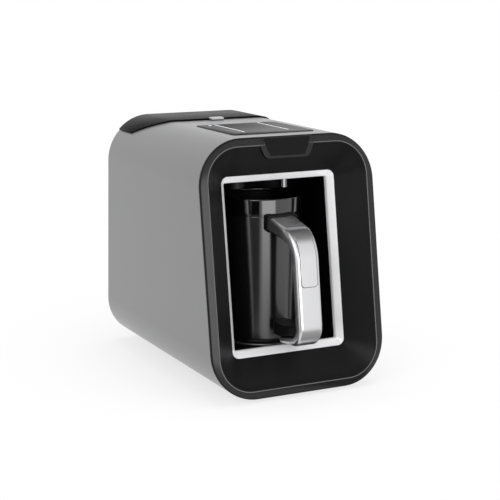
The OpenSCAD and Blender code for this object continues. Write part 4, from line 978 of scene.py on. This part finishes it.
def inlay_stations(grow=0.0):
    """Stations from the shoulder, where it rises from the shell, to the panel's round end."""
    wide, soft, low = INLAY_HALF + grow, INLAY_R + grow, INLAY_LOW - grow
    first, last = ARM_STEPS + BEND_STEPS // 4, ARM_STEPS + BEND_STEPS
    made = []
    for i, (reach, height, at, _, thick) in enumerate(handle_stations()[first : last + 1]):
        sunk = 2 * INLAY_T * (1 - ease(min(1, i / SINK_STEPS)))
        made.append((reach, height, at, wide, thick - sunk))
    down = made[-1][2]
    for k in (0.3, 0.6, 1.0):
        height = mix(made[-1][1], low + soft, k)
        made.append((grip_reach(height), height, down, wide, GRIP_T))
    for i in range(1, END_STEPS + 1):
        a = QUARTER * i / END_STEPS
        height = low + soft * (1 - math.sin(a))
        made.append((grip_reach(height), height, down, wide - soft * (1 - math.cos(a)), GRIP_T))
    return made


swept("grip_shell", handle_stations(), shell_section, "handle_shell")
swept("grip_core", handle_stations(), core_section, "handle_core")
swept("grip_inlay", inlay_stations(), inlay_section, "handle_inlay")
swept("grip_seam", inlay_stations(0.5 * MM), seam_section, "handle_inlay", slot="handle_black")

# ------------------------------------------------------------------ softened copies of solids


def softened(name, node, width, segments=3):
    """A copy of a solid with its loose triangles merged and its edges rounded over."""
    made = placed(name, NODES[node].data.copy())
    work = welded(made.data, CAD_WELD)
    flat = math.radians(1)
    bmesh.ops.dissolve_limit(work, angle_limit=flat, verts=work.verts, edges=work.edges)
    work.to_mesh(made.data)
    work.free()
    bevel = made.modifiers.new("edge", "BEVEL")
    bevel.width = width
    bevel.segments = segments
    bevel.limit_method = "ANGLE"
    bevel.angle_limit = math.radians(32)
    bevel.use_clamp_overlap = True
    settle(made)
    dress(made, [node])


softened("lid_shell", "tank_lid", 0.5 * MM)
softened("lid_tongue", "lid_tab", 0.35 * MM)
softened("touch_panel", "control_panel", 0.25 * MM, segments=2)
softened("upper_socket", "upper_mount", 0.5 * MM)
softened("lower_bridge", "lower_mount", 0.8 * MM)

# ------------------------------------------------------------------ screw heads and feet


def islands(node):
    """The corners of each separate solid of a node."""
    work = welded(NODES[node].data, CAD_WELD)
    left, found = set(work.verts), []
    while left:
        edge, group = [left.pop()], []
        while edge:
            vert = edge.pop()
            group.append(vert.co.copy())
            for link in vert.link_edges:
                other = link.other_vert(vert)
                if other in left:
                    left.remove(other)
                    edge.append(other)
        found.append(group)
    work.free()
    return found


def face_centres(node, way):
    """The middle of the outermost face of each solid of a node, seen along a direction."""
    centres = []
    for group in islands(node):
        reach = max(p.dot(way) for p in group)
        face = [p for p in group if p.dot(way) > reach - 0.01 * MM]
        low, high = ([pick(p[i] for p in face) for i in range(3)] for pick in (min, max))
        centres.append((Vector(low) + Vector(high)) / 2)
    return sorted(centres, key=lambda p: (round(p.x, 4), round(p.y, 4), p.z))


def crossed_screws(name, node, tilt, height, length):
    """Screws with a domed head and a cross recess, which face down before the tilt."""
    rule = Rule(
        name, Head_radius=2.9 * MM, Head_height=height, Cross_width=0.9 * MM,
        Shank_radius=1.25 * MM, Shank_length=length, Tilt=tilt,
    )
    given = rule.given
    radius, high, long = given["Head radius"], given["Head height"], given["Shank length"]

    def raised(part, up):
        return rule.node("GeometryNodeTransform", None, part, Translation=rule.vector(z=up))

    disc = rule.node(
        "GeometryNodeMeshCylinder", {"fill_type": "TRIANGLE_FAN"}, Vertices=40,
        Side_Segments=2, Fill_Segments=5, Radius=radius, Depth=high,
    )
    x, y, z = rule.axes(rule.node("GeometryNodeInputPosition"))
    away = (x * x + y * y) / (radius * radius)
    on_top = z < high * -0.4
    dome = rule.vector(z=on_top * (away - 0.5) * high * 0.5)
    head = rule.node("GeometryNodeSetPosition", None, disc, Offset=dome)
    exact = {"operation": "DIFFERENCE", "solver": "EXACT"}
    cut = rule.node("GeometryNodeMeshBoolean", exact, head)
    bar, thin = radius * 1.2, given["Cross width"]
    for across, along in ((bar, thin), (thin, bar)):
        slot = rule.node("GeometryNodeMeshCube", None, Size=rule.vector(across, along, high))
        rule.feed(cut.node.inputs["Mesh 2"], raised(slot, high * -0.75))
    wires = {"Vertices": 20, "Radius": given["Shank radius"], "Depth": long}
    shank = rule.node("GeometryNodeMeshCylinder", None, **wires)
    screw = rule.joined(raised(shank, long * 0.5 + high), raised(cut, high * 0.5))
    turn = rule.vector(x=given["Tilt"])
    screws = rule.node(
        "GeometryNodeInstanceOnPoints", None, given["Geometry"], Instance=screw, Rotation=turn
    )
    way = Vector((0, math.sin(tilt), -math.cos(tilt)))
    made = rule.grow(name, face_centres(node, way), [], screws, FINISHES["screw_steel"])
    dress(made, [node], sharp=25.0)


def foot_profile():
    """A rubber foot: rings moulded into its sole, a soft edge, and the stem with its barb."""
    groove, tread, rise, land = 0.4, 0.9, 1.1, 1.4
    profile = [(0.02, groove), (1.0, groove)]
    for r in (1.4, 3.0, 4.6):
        profile += [(r, 0), (r + tread, 0), (r + rise, groove), (r + land, groove)]
    profile += [(6.2, 0)] + arc(7, 1, 1, -90, 0, steps=5) + arc(7.6, 2.6, 0.4, 0, 90, steps=3)
    profile += [(3.0, 3.0), (3.0, 4.6), (4.0, 4.6), (2.4, 6.4), (0.02, 6.4)]
    return [(r * MM, z * MM) for r, z in profile]


REAR_LEAN = math.radians(3.4)
BACKWARD = QUARTER + REAR_LEAN
DOWN = Vector((0, 0, -1))
FOOT_CENTRES = [(p.x, p.y, 0.0) for p in face_centres("feet", DOWN)]
crossed_screws("base_screw_heads", "base_screws", tilt=0.0, height=1.5 * MM, length=4.9 * MM)
crossed_screws(
    "cover_screw_heads", "back_screws", tilt=BACKWARD, height=1.6 * MM, length=10.3 * MM
)
turned("ringed_feet", foot_profile(), "feet", FOOT_CENTRES, steps=64)

# ------------------------------------------------------------------ stage, light and camera

WHITE = (1.0, 1.0, 1.0, 1.0)
MIDDLE = (0, 0, 0.1)


def light_path(made):
    """1 for rays from the camera and for those that gloss or glass sends on, else 0."""
    path = made.node("ShaderNodeLightPath")
    kinds = path["Is Camera Ray"] + path["Is Glossy Ray"] + path["Is Transmission Ray"]
    return kinds.at_most(1.0)


def pale_floor():
    """A pale surface that keeps the shadow near the object and shows as white farther out."""
    made = Finish("floor_white", Roughness=0.9, Specular_IOR_Level=0.1)
    made.set(Base_Color=made.tint(grey(0.9), grey(0.91), made.noise(scale=3.0)))
    x, y, _ = made.axes(made.place)
    away = (x * x + y * y * 0.5).root()
    lit = light_path(made) * (away.smooth(0.05, 0.25) * 0.3 + 0.7)
    glow = made.node("ShaderNodeEmission", None, Color=WHITE, Strength=1.0)
    matt = Wire(made, made.shader, made.shader.outputs[0])
    both = made.node("ShaderNodeMixShader", None, lit, matt, glow)
    made.feed(made.tree.nodes["Material Output"].inputs["Surface"], both)
    return made.material


def floor():
    half = 6.0
    corners = [(-half, -half, 0), (half, -half, 0), (half, half, 0), (-half, half, 0)]
    mesh = mesh_from("floor", corners, [(0, 1, 2, 3)])
    mesh.materials.append(pale_floor())
    placed("floor", mesh)


def white_world():
    """A surround that shows as full white and lights matt surfaces with less."""
    world = bpy.data.worlds.new("studio")
    world.use_nodes = True
    bpy.context.scene.world = world
    made = Maker(world.node_tree)
    back = world.node_tree.nodes["Background"]
    made.feed(back.inputs["Strength"], light_path(made) * 0.55 + 0.45)
    made.feed(back.inputs["Color"], WHITE)


def softbox(name, place, target, size, radiance, glossy=True):
    """A rectangular lamp with an even face, out of the camera's sight."""
    light = bpy.data.lights.new(name, "AREA")
    light.shape = "RECTANGLE"
    light.size, light.size_y = size
    light.energy = radiance * math.pi * math.prod(size)
    made = placed(name, light)
    made.location = place
    made.rotation_euler = (Vector(target) - Vector(place)).to_track_quat("-Z", "Y").to_euler()
    made.visible_camera = False
    made.visible_glossy = glossy


def from_pot(bearing, away, height):
    """A point round the pot, by its bearing from the front and its distance from the axis."""
    turn = math.radians(bearing)
    return Vector((away * math.sin(turn), POT_Y - away * math.cos(turn), height))


def card_finish(name, level, fade):
    """Matt grey that turns to white between two places along Y, if it fades."""
    made = Finish(name, Roughness=0.9, Specular_IOR_Level=0.0)
    _, y, _ = made.axes(made.place)
    pale = y.smooth(*fade) if fade else made.noise(scale=2.0) * 0.01
    made.set(Base_Color=made.tint(grey(level), grey(1.0), pale))
    return made.material


def card(name, corners, level, fade=None):
    """A card that only reflections show, with four corners to each of its faces."""
    faces = [tuple(range(i, i + 4)) for i in range(0, len(corners), 4)]
    mesh = mesh_from(name, corners, faces)
    mesh.materials.append(card_finish(name, level, fade))
    made = placed(name, mesh)
    for seen in ("camera", "diffuse", "shadow", "transmission"):
        setattr(made, "visible_" + seen, False)


def flag(name, bearing, spread, near, far, wall=0.0, level=0.003):
    """A wedge of card on the floor round the pot, with or without a wall at its far end."""
    left, right, low = bearing - spread, bearing + spread, 0.5 * MM
    corners = [from_pot(left, near, low), from_pot(right, near, low)]
    corners += [from_pot(right, far, low), from_pot(left, far, low)]
    if wall:
        corners += [from_pot(left, far, low), from_pot(right, far, low)]
        corners += [from_pot(right, far, wall), from_pot(left, far, wall)]
    card(name, corners, level)


def camera():
    """The camera, placed from the front's foot."""
    azimuth, elevation = -26.52, 11.61
    lens = bpy.data.cameras.new("camera")
    lens.lens, lens.sensor_width = 98.31, 36.0
    lens.clip_start, lens.clip_end = 0.05, 50.0
    made = placed("camera", lens)
    made.location = (-0.52106, FOOT_Y - 0.94702, BASE_Z + 0.34207)
    made.rotation_euler = (math.radians(90 - elevation), 0.0, math.radians(azimuth))
    bpy.context.scene.camera = made


floor()
white_world()
softbox("key_left", (-1.5, -0.9, 1.3), MIDDLE, size=(1.0, 1.2), radiance=2.8)
softbox("top", (0.1, 0.1, 1.6), MIDDLE, size=(1.4, 1.0), radiance=2.9, glossy=False)
softbox("fill_right", (1.0, -1.2, 0.4), MIDDLE, size=(0.9, 0.7), radiance=4.0, glossy=False)
low_place, low_target = (from_pot(-8, away, height=0.15) for away in (0.53, 0.0))
softbox("low_front", low_place, low_target, size=(0.37, 0.3), radiance=2.6)
flag("flag_left", bearing=-46, spread=12, near=0.2, far=1.15, wall=0.16)
flag("heel_card", bearing=15, spread=28, near=0.1, far=0.27, level=0.33)
OVERHEAD = [(-0.2, 0.5, 0.7), (0.8, 0.5, 0.7), (0.8, -0.6, 0.7), (-0.2, -0.6, 0.7)]
card("overhead", OVERHEAD, level=0.2, fade=(-0.1, -0.55))
camera()
bpy.context.scene.view_settings.view_transform = "Standard"
